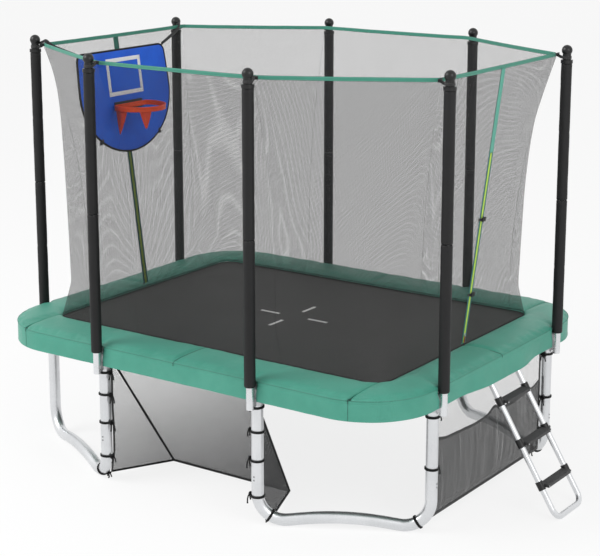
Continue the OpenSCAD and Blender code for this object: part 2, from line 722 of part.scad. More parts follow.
module buckle_sockets() color([0.08, 0.08, 0.08])
    for (z = buckle_zs) on_net(z) translate([buckle_off, 0, -buckle_w / 2]) {
        difference() {
            cube([buckle_t, socket_l, buckle_w]);
            translate([2, -eps, 3]) cube([buckle_t - 4, socket_l - 5, buckle_w - 6]);
        }
        translate([-6, socket_l - 8, 3]) cube([7, 6, buckle_w - 6]);
    }

module buckle_tongue(z) color([0.08, 0.08, 0.08]) on_net(z) translate([buckle_off, 0, -buckle_w / 2]) {
    translate([0, -16.5, 0]) cube([buckle_t, 16, buckle_w]);
    translate([2.5, -1, 3.5]) cube([buckle_t - 5, socket_l - 7, buckle_w - 7]);
}
module buckle_tongue_upper() buckle_tongue(buckle_zs[1]);
module buckle_tongue_lower() buckle_tongue(buckle_zs[0]);

// ---- Backboard and hoop ----

board_bottom_z = 1867;
board_in = 14.5;
board_round = 55;
board_bulge_z = 410;
board_steps = 14;

board_outline = concat(
    [for (i = [0:board_steps]) let (w = -180 * i / board_steps)
        [(board_w / 2 + 12) * cos(w), board_bulge_z + board_bulge_z * sin(w)]],
    [for (i = [0:4]) let (w = 180 - i * 22.5)
        [-board_w / 2 + board_round + board_round * cos(w), board_h - board_round + board_round * sin(w)]],
    [for (i = [0:4]) let (w = 90 - i * 22.5)
        [board_w / 2 - board_round + board_round * cos(w), board_h - board_round + board_round * sin(w)]]
);

// Local frame on the left net's inner face: X into the room, Y across, Z up the net.
module on_board() mirror([1, 0, 0]) on_net(board_bottom_z) mirror([1, 0, 0]) children();

module backboard() color([0.11, 0.32, 0.55])
    on_board() translate([board_in, 0, 0]) rotate([90, 0, 90]) linear_extrude(board_t) polygon(board_outline);

// Webbing straps from the board's top corners out to the two poles beside it.
strap_angle = 71;
strap_len = 262;
strap_w = 18;
module board_straps() color([0.07, 0.07, 0.07])
    on_board() for (s = [-1, 1]) translate([board_in, s * (board_w / 2 - 8), board_h - 8])
        rotate([-s * strap_angle, 0, 0]) translate([0, -strap_w / 2, 0]) cube([3, strap_w, strap_len]);

bracket_w = 284;
bracket_h = 60;
bracket_z = 318;
bracket_t = 8;
arm_w = 140;
arm_t = 12;
arm_reach = 22;
module hoop_bracket() color([0.09, 0.09, 0.09])
    on_board() translate([board_in + board_t + gap, 0, bracket_z]) {
        translate([0, -bracket_w / 2, -bracket_h / 2]) cube([bracket_t, bracket_w, bracket_h]);
        translate([bracket_t - eps, -arm_w / 2, -bracket_h / 2 - 6]) cube([arm_reach, arm_w, arm_t]);
    }

hoop_x = -1300;
hoop_back = -1383;
hoop_wall = 8;
module hoop_ring() color([0.87, 0.31, 0.16])
    translate([hoop_x, 0, hoop_top_z - hoop_band]) difference() {
        intersection() {
            cylinder(r = hoop_r, h = hoop_band);
            translate([hoop_back - hoop_x, -hoop_r - eps, -eps])
                cube([2 * hoop_r, 2 * hoop_r + 2 * eps, hoop_band + 2 * eps]);
        }
        translate([0, 0, -eps]) intersection() {
            cylinder(r = hoop_r - hoop_wall, h = hoop_band + 2 * eps);
            translate([hoop_back - hoop_x + hoop_wall, -hoop_r - eps, 0])
                cube([2 * hoop_r, 2 * hoop_r + 2 * eps, hoop_band + 2 * eps]);
        }
    }

// Two pointed net flaps that hang below the hoop's near side.
flap_depths = [160, 116];
flap_turns = [-100, -34];
flap_wides = [120, 84];
module hoop_net() color([0.87, 0.38, 0.2])
    translate([hoop_x, 0, hoop_top_z - hoop_band - gap]) for (i = [0, 1]) rotate([0, 0, flap_turns[i]])
        translate([hoop_r - hoop_wall - 12, 0, 0]) rotate([90, 0, 90]) linear_extrude(2.5)
            polygon([[-flap_wides[i] / 2, 0], [-12, -flap_depths[i] + 16], [0, -flap_depths[i]],
                     [12, -flap_depths[i] + 16], [flap_wides[i] / 2, 0]]);

// ---- Ladder ----

// The rails lie on a line that leans out from the frame; the top is upright beside the frame rail.
rail_x = frame_half_x + 53;
rail_knee_z = 811;
rail_top_z = 845;
foot_bend = 60;
knee_bend = 50;
knee_len = knee_bend * tan(ladder_lean / 2);
foot_z = ladder_r;
foot_x = rail_x + (rail_knee_z - foot_z) * tan(ladder_lean);
rail_run = (rail_knee_z - foot_z) / cos(ladder_lean);

module slanted(z) translate([rail_x + (rail_knee_z - z) * tan(ladder_lean), 0, z])
    rotate([0, -ladder_lean, 0]) children();

// The two rails and the bar across their feet, one bent tube of radius r.
module ladder_loop(r) {
    slanted(foot_z) {
        for (s = [-1, 1]) {
            translate([0, s * ladder_w / 2, foot_bend + seam])
                cylinder(r = r, h = rail_run - foot_bend - knee_len - 2 * seam);
            translate([0, s * ladder_w / 2, rail_run - knee_len]) bend_ball(r);
            translate([0, s * ladder_w / 2, foot_bend]) bend_ball(r);
            translate([0, s * (ladder_w / 2 - foot_bend), 0]) bend_ball(r);
            translate([0, s * (ladder_w / 2 - foot_bend), foot_bend]) rotate([0, 90, 0])
                rotate([0, 0, s > 0 ? 0 : -90])
                rotate_extrude(angle = 90) translate([foot_bend, 0]) circle(r = r);
        }
        rotate([90, 0, 0]) cylinder(r = r, h = ladder_w - 2 * foot_bend - 2 * seam, center = true);
    }
    for (s = [-1, 1]) translate([rail_x, s * ladder_w / 2, rail_knee_z + knee_len]) {
        translate([knee_bend, 0, 0]) rotate([90, 0, 0]) rotate([0, 0, 180])
            rotate_extrude(angle = ladder_lean) translate([knee_bend, 0]) circle(r = r);
        bend_ball(r);
        translate([0, 0, seam]) cylinder(r = r, h = rail_top_z - rail_knee_z - knee_len - seam);
    }
}

hook_in = rail_r + 0.6;
hook_t = 5;
hook_w = 30;
lug_in = 28;
lug_out = 44;
lug_low = -33;
lug_h = 18;
hook_open = 8;

// A saddle hook over the frame rail, with the lug that is welded to the ladder's rail.
module rail_hook() difference() {
    union() {
        rotate([90, 0, 0]) cylinder(r = hook_in + hook_t, h = hook_w, center = true);
        translate([lug_in, -hook_w / 2, lug_low]) cube([lug_out - lug_in, hook_w, lug_h]);
    }
    rotate([90, 0, 0]) cylinder(r = hook_in, h = hook_w + 2 * eps, center = true);
    translate([-2 * hook_in, -hook_w, -2 * hook_in]) cube([2 * hook_in + hook_open, 2 * hook_w, 2 * hook_in - hook_open]);
}

module ladder_rails() color("silver") {
    difference() {
        ladder_loop(ladder_r);
        ladder_loop(ladder_r - wall);
    }
    for (s = [-1, 1]) translate([frame_half_x, s * ladder_w / 2, frame_z]) rail_hook();
}

step_depth = 62;
step_t = 19;
step_first_z = 201;
step_front = 15;
sleeve_w = 52;
step_zs = [for (i = [0:2]) step_first_z + i * step_rise];

module ladder_steps() color([0.26, 0.26, 0.26])
    for (z = step_zs) translate([rail_x + (rail_knee_z - z) * tan(ladder_lean) + step_front, 0, z]) {
        translate([-step_depth / 2, -ladder_w / 2 + ladder_r + gap, -step_t / 2])
            cube([step_depth, ladder_w - 2 * ladder_r - 2 * gap, step_t]);
    }

// Moulded end caps that grip the rails and hold the steps, with their bolt heads.
module step_ends() color([0.1, 0.1, 0.1])
    for (z = step_zs) {
        x = rail_x + (rail_knee_z - z) * tan(ladder_lean);
        difference() {
            for (s = [-1, 1]) translate([x, s * ladder_w / 2, z]) {
                rotate([0, -ladder_lean, 0]) translate([0, 0, -27]) cylinder(r = ladder_r + 5, h = 54);
            }
            for (s = [-1, 1]) translate([x, s * ladder_w / 2, z]) rotate([0, -ladder_lean, 0])
                translate([0, 0, -40]) cylinder(r = ladder_r + 0.05, h = 80);
            translate([x + step_front - step_depth / 2 - gap, -ladder_w / 2 + ladder_r, -step_t / 2 - gap + z])
                cube([step_depth + 2 * gap, ladder_w - 2 * ladder_r, step_t + 2 * gap]);
        }
    }

// ---- Nets under the frame ----

bag_x = frame_half_x - 20;
bag_half = leg_y - leg_r - 8;
bag_t = 2.5;
bag_ys = [-1, -0.8, -0.55, -0.3, -0.14, 0, 0.14, 0.3, 0.55, 0.8, 1];
bag_rows = [0, 0.15, 0.4, 0.7, 1];
bag_depth = 46;
// The open edge is bound in five scallops, high at the ends and the middle.
bag_mouth = [0, -20, -24, -30, -22, 14, -22, -30, -24, -20, 0];

module storage_backing() color([0.4, 0.4, 0.4])
    translate([bag_x - bag_t, -bag_half, bag_bottom_z]) cube([bag_t, 2 * bag_half, post_top_z + 40 - bag_bottom_z]);

// The pouch in front of the backing, which it meets with 0.05 mm to spare.
module storage_net() color([0.4, 0.4, 0.4]) {
    n = len(bag_ys);
    m = len(bag_rows);
    points = [for (e = [0, 1], i = [0:n - 1], j = [0:m - 1])
        let (
            u = bag_ys[i], v = bag_rows[j],
            z = bag_bottom_z + v * (bag_mouth_z + bag_mouth[i] - bag_bottom_z),
            out = bag_depth * pow(1 - u * u, 0.6) * pow(sin(180 * (0.08 + 0.66 * v)), 0.8) * (v == 0 ? 0 : 1)
        ) [bag_x + 0.05 + out + bag_t * (1 - e), u * bag_half, z]];
    shell(points, n, m);
}

goal_top_z = 806;
goal_top_y = frame_half_y - 30;
goal_post_x = leg_x - leg_r - 6;
goal_t = 3;
goal_low_z = 4;

// A thin panel through its corner points, folded along lines from the first, given thickness along dir.
module panel(corners, dir) {
    n = len(corners);
    points = concat(corners, [for (p = corners) p + dir * goal_t]);
    faces = concat(
        [for (i = [1:n - 2]) [0, i, i + 1]],
        [for (i = [1:n - 2]) [n, n + i + 1, n + i]],
        [for (i = [0:n - 1]) let (k = (i + 1) % n) [i, n + i, n + k, k]]
    );
    polyhedron(points = points, faces = faces, convexity = 2);
}

module goal_net() color([0.5, 0.5, 0.5]) {
    panel([[-goal_post_x + 6, -goal_top_y, goal_top_z], [goal_post_x - 6, -goal_top_y, goal_top_z],
           [goal_half_x, -goal_back_y, goal_low_z], [-goal_half_x, -goal_back_y, goal_low_z]], [0, 1, 0]);
    for (s = [0, 1]) mirror([s, 0, 0])
        panel([[goal_half_x + 8, -goal_back_y - 10, goal_low_z], [goal_post_x, -goal_top_y - 16, goal_top_z - 14],
               [goal_post_x, -goal_top_y - 5, 200], [goal_post_x + 83.5, -goal_top_y + 61, 26]], [1, 0, 0]);
}

edge_r = 4.5;
module rod(a, b) {
    d = b - a;
    len = norm(d);
    translate(a) rotate([0, acos(d[2] / len), atan2(d[1], d[0])]) cylinder(r = edge_r, h = len, $fn = 16);
}

module goal_net_edging() color([0.07, 0.07, 0.07]) {
    back = -goal_back_y + goal_t + edge_r + 1;
    for (s = [-1, 1])
        rod([s * goal_half_x, back, goal_low_z + edge_r], [s * goal_post_x, -goal_top_y + goal_t + edge_r + 1, goal_top_z]);
    rod([-goal_half_x + 12, back, goal_low_z + edge_r], [goal_half_x - 12, back, goal_low_z + edge_r]);
}

frame_rail_near();
frame_rail_right();
frame_rail_far();
frame_rail_left();
frame_corners();
leg_base_near_left();
leg_base_near_right();
leg_base_far_right();
leg_base_far_left();
leg_posts();
pole_clamps();
bolts_and_screws();
pole_near_left();
pole_near_right();
pole_right_near();
pole_right_far();
pole_far_right();
pole_far_left();
pole_left_far();
pole_left_near();
foam_lower();
foam_upper();
pole_caps();
springs();
mat_rings();
mat();
pad_near();
pad_right();
pad_far();
pad_left();
skirt_near();
skirt_right();
skirt_far();
skirt_left();
skirt_corners();
net_near();
net_right();
net_far();
net_left();
net_corners();
top_band();
net_loops();
door_zippers();
zip_slider_right();
zip_slider_left();
buckle_sockets();
buckle_tongue_upper();
buckle_tongue_lower();
backboard();
board_straps();
hoop_bracket();
hoop_ring();
hoop_net();
ladder_rails();
ladder_steps();
step_ends();
storage_backing();
storage_net();
goal_net();
goal_net_edging();
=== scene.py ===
"""A rectangular garden trampoline with safety net, ladder, basketball set and two nets under its frame."""
import bmesh
import bpy
import random
from math import acos, asin, atan2, copysign, cos, dist, exp, hypot, pi, radians, sin, sqrt, tan
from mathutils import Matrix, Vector
from mathutils.bvhtree import BVHTree


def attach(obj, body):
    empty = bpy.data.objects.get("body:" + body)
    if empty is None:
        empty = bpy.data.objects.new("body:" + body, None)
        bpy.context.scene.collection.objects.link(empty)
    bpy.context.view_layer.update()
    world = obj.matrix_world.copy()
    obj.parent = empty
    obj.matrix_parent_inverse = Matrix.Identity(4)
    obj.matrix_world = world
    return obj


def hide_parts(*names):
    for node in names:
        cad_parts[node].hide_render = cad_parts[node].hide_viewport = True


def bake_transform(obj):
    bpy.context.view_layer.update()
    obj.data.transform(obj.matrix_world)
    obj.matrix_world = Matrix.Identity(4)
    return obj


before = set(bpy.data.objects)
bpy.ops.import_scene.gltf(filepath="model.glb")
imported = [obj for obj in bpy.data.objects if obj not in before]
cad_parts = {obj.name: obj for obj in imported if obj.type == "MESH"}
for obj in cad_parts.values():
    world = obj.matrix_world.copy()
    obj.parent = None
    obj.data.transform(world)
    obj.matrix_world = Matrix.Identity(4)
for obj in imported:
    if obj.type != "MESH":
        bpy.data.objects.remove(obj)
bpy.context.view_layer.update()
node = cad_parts
scene = bpy.context.scene
scene.view_settings.view_transform = "Standard"


# ---- Studio --------------------------------------------------------------------------------------
# A white cyclorama: a pale floor that keeps a soft shadow, white surroundings, and two large soft boxes. The
# camera stands 11 m away, a little above the poles, and looks down across the near right corner.

class Wire:
    """A node's socket that can be used in plain arithmetic: each operator adds its Math node."""

    def __init__(self, tree, socket=None):
        self.tree = tree
        self.socket = socket

    def add(self, kind, settings, inputs, out=0):
        """Adds a node: its type, its settings, the values or wires of its inputs, and the output used."""
        made = self.tree.nodes.new("ShaderNode" + kind)
        for key, value in settings.items():
            setattr(made, key, value)
        for key, value in inputs.items():
            if isinstance(value, Wire):
                self.tree.links.new(value.socket, made.inputs[key])
            else:
                made.inputs[key].default_value = value
        return Wire(self.tree, made.outputs[out])

    def math(self, operation, first, second=0.0):
        return self.add("Math", {"operation": operation}, {0: first, 1: second})

    def __add__(self, other):
        return self.math("ADD", self, other)

    def __radd__(self, other):
        return self.math("ADD", other, self)

    def __sub__(self, other):
        return self.math("SUBTRACT", self, other)

    def __rsub__(self, other):
        return self.math("SUBTRACT", other, self)

    def __mul__(self, other):
        return self.math("MULTIPLY", self, other)

    def __rmul__(self, other):
        return self.math("MULTIPLY", other, self)

    def __gt__(self, other):
        return self.math("GREATER_THAN", self, other)

    def __lt__(self, other):
        return self.math("LESS_THAN", self, other)

    def sin(self):
        return self.math("SINE", self)

    def size(self):
        return self.math("ABSOLUTE", self)

    def waves(self, pitch):
        """Even waves along this measure, from -1 to 1."""
        return (self * (2 * pi / pitch)).sin()

    def ribs(self, pitch):
        """Even ribs along this measure, from 0 to 1."""
        return self.waves(pitch) * 0.5 + 0.5

    def mix(self, off, on):
        """The colour off where this is 0 and on where it is 1. Each is a wire or a screen colour."""
        off, on = (end if isinstance(end, Wire) else colour(*end) for end in (off, on))
        return self.add("Mix", {"data_type": "RGBA"}, {0: self, 6: off, 7: on}, 2)

    def smooth(self, low, high):
        """0 below low, 1 above high, and a smooth rise between."""
        return self.add("MapRange", {"interpolation_type": "SMOOTHSTEP"}, {0: self, 1: low, 2: high})

    def noise(self, scale, detail=4.0, rough=0.6):
        """Noise of about 0.5 on this vector."""
        return self.add("TexNoise", {}, {"Vector": self, "Scale": scale, "Detail": detail,
                                         "Roughness": rough})

    def stretch(self, x, y, z):
        return self.add("Mapping", {"vector_type": "POINT"}, {"Vector": self, "Scale": (x, y, z)})

    def axis(self, letter):
        return self.add("SeparateXYZ", {}, {0: self}, "XYZ".index(letter))


def colour(red, green, blue):
    """A screen colour from 0 to 255 as the linear colour that a shader takes."""
    linear = [((v / 255 + 0.055) / 1.055) ** 2.4 if v > 10 else v / 3294 for v in (red, green, blue)]
    return (*linear, 1)


def new_material(name, roughness, metallic=0.0, **fixed):
    """A material, its Principled shader, and the place on the object as a vector."""
    made = bpy.data.materials.new(name)
    made.use_nodes = True
    tree = made.node_tree
    shader = tree.nodes["Principled BSDF"]
    shader.inputs["Roughness"].default_value = roughness
    shader.inputs["Metallic"].default_value = metallic
    for key, value in fixed.items():
        shader.inputs[key.replace("_", " ")].default_value = value
    return made, shader, Wire(tree).add("TexCoord", {}, {}, "Object")


def showing_rays(tree):
    """1 for the rays that show a thing as it is: straight, in a gloss or through glass."""
    straight, gloss, through = (Wire(tree).add("LightPath", {}, {}, "Is " + kind + " Ray")
                                for kind in ("Camera", "Glossy", "Transmission"))
    seen = straight + gloss + through
    return seen.math("MINIMUM", seen, 1.0)


# The floor shows mostly a plain white glow. The rest is its own lit surface, which keeps the shadow.
floor_glow, floor_size = 0.82, 200
floor_material, floor_shader, _ = new_material("studio floor", 0.9)
floor_shader.inputs["Base Color"].default_value = colour(251, 251, 251)
tree = floor_material.node_tree
glow = Wire(tree).add("Emission", {}, {})
lit_floor = Wire(tree, floor_shader.outputs[0])
blend = glow.add("MixShader", {}, {0: showing_rays(tree) * floor_glow, 1: lit_floor, 2: glow})
tree.links.new(blend.socket, tree.nodes["Material Output"].inputs["Surface"])

bpy.ops.mesh.primitive_plane_add(size=floor_size, location=(0, 0, 0))
floor = bpy.context.object
floor.name = "studio_floor"
floor.data.materials.append(floor_material)

world_light = 0.62
world = bpy.data.worlds.new("studio")
scene.world = world
world.use_nodes = True
tree = world.node_tree
strength = showing_rays(tree) * (1 - world_light) + world_light
tree.links.new(strength.socket, tree.nodes["Background"].inputs["Strength"])
tree.nodes["Background"].inputs["Color"].default_value = (1, 1, 1, 1)


def soft_box(name, place, target, size, watts):
    """A rectangular lamp that faces a target."""
    lamp = bpy.data.lights.new(name, "AREA")
    lamp.shape = "RECTANGLE"
    lamp.size, lamp.size_y = size
    lamp.energy = watts
    made = bpy.data.objects.new(name, lamp)
    made.location = place
    made.rotation_euler = (Vector(target) - Vector(place)).to_track_quat("-Z", "Y").to_euler()
    scene.collection.objects.link(made)


soft_box("key_box", (-5.5, -6.5, 7.5), (0, 0, 1.0), (5, 4), 560)
soft_box("fill_box", (7.5, -3.0, 5.0), (0, 0, 1.0), (4, 4), 180)

camera = bpy.data.cameras.new("camera")
camera.sensor_width = 36
camera.lens = 96.94
camera.shift_y = -0.1
eye = bpy.data.objects.new("camera", camera)
eye.location = (5.9056, -8.4123, 3.8662)
eye.rotation_euler = (radians(90 - 12.645), 0, 0.6082)
scene.collection.objects.link(eye)
scene.camera = eye


# ---- Steel frame and legs ------------------------------------------------------------------------
# Straight rails, bent corners, W-shaped leg bases and upright posts, all hot galvanized steel tube. The zinc
# skin shows a faint spangle, duller patches and fine scuffs along the tubes.

def drive(shader, socket, wire):
    """Lets a wire set one of the shader's sockets."""
    wire.tree.links.new(wire.socket, shader.inputs[socket])


def raise_by(shader, wire, distance, strength=1.0):
    """Bump from a height that runs from 0 to 1, over a distance in metres."""
    bump = wire.add("Bump", {}, {"Height": wire, "Distance": distance, "Strength": strength})
    drive(shader, "Normal", bump)


def finish_nodes(material, *names):
    """Gives CAD nodes this material."""
    for name in names:
        mesh = node[name].data
        mesh.materials.clear()
        mesh.materials.append(material)


def galvanized(name, tone, roughness):
    """A zinc finish. A tone below 1 is darker than new zinc on the frame."""
    made, shader, place = new_material(name, roughness, 0.92)
    spangle = place.add("TexVoronoi", {}, {"Vector": place, "Scale": 160.0}, "Color").axis("X")
    patch = place.noise(3.0, 3.0)
    scuff = place.stretch(1, 1, 0.2).noise(140.0, 2.0)
    shade = patch.smooth(0.3, 0.75) * 0.55 + spangle * 0.2 + scuff * 0.25
    dull, bright = ([v * tone for v in grey] for grey in ((207, 209, 211), (231, 232, 234)))
    drive(shader, "Base Color", shade.mix(dull, bright))
    drive(shader, "Roughness", patch * 0.14 + spangle * 0.04 + roughness - 0.06)
    raise_by(shader, spangle * 0.3 + scuff * 0.7, 0.00006)
    return made


zinc = galvanized("galvanized steel", 1.0, 0.3)
finish_nodes(zinc, "frame_rail_near", "frame_rail_right", "frame_rail_far", "frame_rail_left",
             "frame_corners", "leg_base_near_left", "leg_base_near_right", "leg_base_far_right",
             "leg_base_far_left", "leg_posts")


# ---- Clamps, bolts and screws --------------------------------------------------------------------
# A steel collar with a saddle block holds the foot of a net pole beside each leg, with bolts through it. Two
# small screws above each leg joint keep the post on its base. All are zinc plated, as are the mat's rings.
plated = galvanized("zinc plated clamp", 0.86, 0.34)
dark_plated = galvanized("dark plated bolt", 0.6, 0.38)
finish_nodes(plated, "pole_clamps")
finish_nodes(dark_plated, "bolts_and_screws", "mat_rings")


# ---- Poles ---------------------------------------------------------------------------------------
# Eight galvanized tubes carry the net, each in two lengths that plug together half way up. They stand just
# outside the frame, one beside each leg, and the clamps hold their feet.
pole_zinc = galvanized("galvanized pole", 1.02, 0.26)
finish_nodes(pole_zinc, "pole_near_left", "pole_near_right", "pole_right_near", "pole_right_far",
             "pole_far_right", "pole_far_left", "pole_left_far", "pole_left_near")

leg_x, leg_y = 0.589, 0.728
rail_x, rail_y = 1.487, 1.213
pole_out = 0.070
# Foot of each leg on the rail line and the direction outwards, going round from the near left.
leg_spots = [(-leg_x, -rail_y, 0, -1), (leg_x, -rail_y, 0, -1), (rail_x, -leg_y, 1, 0), (rail_x, leg_y, 1, 0),
             (leg_x, rail_y, 0, 1), (-leg_x, rail_y, 0, 1), (-rail_x, leg_y, -1, 0), (-rail_x, -leg_y, -1, 0)]
pole_spots = [(x + dx * pole_out, y + dy * pole_out) for x, y, dx, dy in leg_spots]


# ---- Foam sleeves --------------------------------------------------------------------------------
# Two lengths of pipe foam in a thin black sheath cover each pole, butted together half way up. The sheath is
# welded along one line and wrinkles slightly round the foam.

def add_piece(name, points, faces, material, body="frame", smooth=True):
    """Makes a mesh piece that rides on a body, or on none when no body is given.

    A point may end in its weave's u and v.
    """
    mesh = bpy.data.meshes.new(name)
    mesh.from_pydata([tuple(p[:3]) for p in points], [], faces)
    form = bmesh.new()
    form.from_mesh(mesh)
    bmesh.ops.recalc_face_normals(form, faces=form.faces)
    form.to_mesh(mesh)
    form.free()
    if len(points[0]) == 5:
        weave = mesh.uv_layers.new(name="weave")
        for loop in mesh.loops:
            weave.data[loop.index].uv = points[loop.vertex_index][3:]
    mesh.materials.append(material)
    if smooth:
        mesh.shade_smooth()
    made = bpy.data.objects.new(name, mesh)
    scene.collection.objects.link(made)
    if body:
        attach(made, body)
    return made


def grid_faces(rows, columns, around=False, start=0):
    """Quads over a grid of points stored row by row; around closes each row on itself."""
    wide = columns if around else columns - 1
    return [(start + i * columns + j, start + i * columns + (j + 1) % columns,
             start + (i + 1) * columns + (j + 1) % columns, start + (i + 1) * columns + j)
            for i in range(rows - 1) for j in range(wide)]


def closing_faces(rows, columns):
    """Quads that join the last row of a grid to its first, where both ways run round."""
    last = (rows - 1) * columns
    return [(last + j, last + (j + 1) % columns, (j + 1) % columns, j) for j in range(columns)]


def ripple(seed, *values):
    """Smooth noise between -1 and 1 from a few sines that the seed sets."""
    rng = random.Random(seed)
    total = 0.0
    for step in range(4):
        turn = rng.uniform(0, 6.283)
        for value in values:
            turn += value * rng.uniform(0.6, 1.6) * (1.7 ** step)
        total += sin(turn) / 1.5 ** step
    return total / 2.4


foam_r, foam_hole_r = 0.0345, 0.0236
foam_sides, foam_row = 36, 0.016
weld_angle, weld_half = 2.2, 0.07


def sleeve(x, y, low, high, seed):
    """One foam sleeve: an outer skin with wrinkles, rounded rims and the bore inside, as a closed ring."""
    length = high - low
    profile = [(foam_hole_r, low + 0.004), (foam_hole_r + 0.004, low + 0.001), (foam_r - 0.005, low),
               (foam_r - 0.0012, low + 0.003)]
    steps = int(length / foam_row)
    profile += [(foam_r, low + 0.008 + (length - 0.016) * i / steps) for i in range(steps + 1)]
    profile += [(foam_r - 0.0012, high - 0.003), (foam_r - 0.005, high), (foam_hole_r + 0.004, high - 0.001),
                (foam_hole_r, high - 0.004)]
    points = []
    for radius, z in profile:
        for side in range(foam_sides):
            angle = 2 * pi * side / foam_sides
            skin = 0.0
            if radius > foam_r - 0.002:
                near_end = exp(-min(z - low, high - z) / 0.03)
                skin = 0.0006 * ripple(seed, angle * 2, z * 24) - 0.0005
                skin += near_end * 0.0012 * sin(angle * 9 + seed)
                skin -= 0.0012 * exp(-((z - low) / length * 3 % 1 - 0.5) ** 2 * 3600)
                skin -= 0.0016 * exp(-((angle - weld_angle) / weld_half) ** 2)
            points.append((x + (radius + skin) * cos(angle), y + (radius + skin) * sin(angle), z))
    return points, grid_faces(len(profile), foam_sides, True) + closing_faces(len(profile), foam_sides)


def gather(parts):
    """Joins several point and face lists into one."""
    points, faces = [], []
    for more_points, more_faces in parts:
        base = len(points)
        points += more_points
        faces += [tuple(base + i for i in face) for face in more_faces]
    return points, faces


foam_skin, shader, place = new_material("black foam sheath", 0.5, Specular_IOR_Level=0.32)
cloud = place.noise(7.0, 4.0)
creases = place.stretch(1, 1, 3).noise(38.0, 5.0, 0.7)
drive(shader, "Base Color", cloud.mix((15, 15, 16), (27, 27, 28)))
drive(shader, "Roughness", creases * 0.25 + 0.42)
raise_by(shader, creases * 0.6 + place.noise(900.0, 2.0) * 0.4, 0.0011)

foam_low, foam_seam, foam_high = 0.872, 1.743, 2.610
lower = add_piece("foam_sleeves_lower", *gather([sleeve(x, y, foam_low, foam_seam - 0.001, i)
                                                 for i, (x, y) in enumerate(pole_spots)]), foam_skin)
upper = add_piece("foam_sleeves_upper", *gather([sleeve(x, y, foam_seam + 0.001, foam_high, 20 + i)
                                                 for i, (x, y) in enumerate(pole_spots)]), foam_skin)
for piece, replaced in ((lower, "foam_lower"), (upper, "foam_upper")):
    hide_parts(replaced)


# ---- Pole caps -----------------------------------------------------------------------------------
# A moulded plastic cap closes each pole: a collar over the foam, a neck for the net's loop, and a ball on
# top. The moulding has a fine grain.
cap_plastic, shader, place = new_material("black moulded plastic", 0.34, Specular_IOR_Level=0.4)
grain = place.noise(420.0, 3.0)
drive(shader, "Base Color", place.noise(14.0).mix((14, 14, 15), (26, 26, 27)))
drive(shader, "Roughness", grain * 0.2 + 0.26)
raise_by(shader, grain, 0.0003)
finish_nodes(cap_plastic, "pole_caps")


# ---- Springs -------------------------------------------------------------------------------------
# Galvanized extension springs pull the mat out to the frame all round. A hook at each end of a spring catches
# a ring under the mat's hem and a hole in the frame rail.
mat_x, mat_y, mat_r = 1.275, 1.0, 0.2
spring_z = 0.886
coil_r, wire_r = 0.0075, 0.0014
coil_turns, coil_steps = 17, 9
springs_long, springs_short = 18, 14
# How far out of the mat's edge, on straight sides and at corners. Each group of springs carries these, but
# nothing here uses them.
side_far, side_close, corner_far, corner_close = 0.172, 0.014, 0.350, 0.212


def tube(path, radius, sides=8, closed=False):
    """A round tube along points. Its frame turns no more than the path does."""
    path = [Vector(p) for p in path]
    count = len(path)
    points = []
    normal = None
    for i, here in enumerate(path):
        if closed:
            along = path[(i + 1) % count] - path[i - 1]
        else:
            along = path[min(i + 1, count - 1)] - path[max(i - 1, 0)]
        along.normalize()
        if normal is None:
            normal = along.cross(Vector((0.31, 0.17, 0.93)))
            if normal.length < 0.1:
                normal = along.cross(Vector((1, 0, 0)))
        normal = (normal - along * normal.dot(along)).normalized()
        side = along.cross(normal)
        wide = radius(i / max(count - 1, 1)) if callable(radius) else radius
        points += [here + (normal * cos(2 * pi * k / sides)
                           + side * sin(2 * pi * k / sides)) * wide for k in range(sides)]
    faces = grid_faces(count, sides, True)
    if closed:
        faces += closing_faces(count, sides)
    else:
        faces += [tuple(reversed(range(sides))), tuple((count - 1) * sides + k for k in range(sides))]
    return points, faces


def spring_path():
    """One spring along X from the mat's edge: the ring hook, the coil and the rail hook."""
    path = [(0.0135, 0, 0.0060), (0.0115, 0, 0.0030), (0.0120, 0, -0.0015), (0.0160, 0, -0.0045),
            (0.0220, 0, -0.0035), (0.0275, 0.002, 0.001), (0.0310, 0.006, 0.0035)]
    for i in range(coil_turns * coil_steps + 1):
        turn = 2 * pi * i / coil_steps + 0.6
        path.append((0.033 + 0.120 * i / (coil_turns * coil_steps), coil_r * cos(turn), coil_r * sin(turn)))
    path += [(0.1570, 0.004, 0.003), (0.1600, 0.001, 0.001), (0.1680, 0, 0), (0.1795, 0, 0.0005)]
    return path


def turned(path, spot):
    """Places points made along X and around a height at a spring's spot."""
    x, y, dx, dy = spot
    return [(x + px * dx - py * dy, y + px * dy + py * dx, spring_z + pz) for px, py, pz in path]


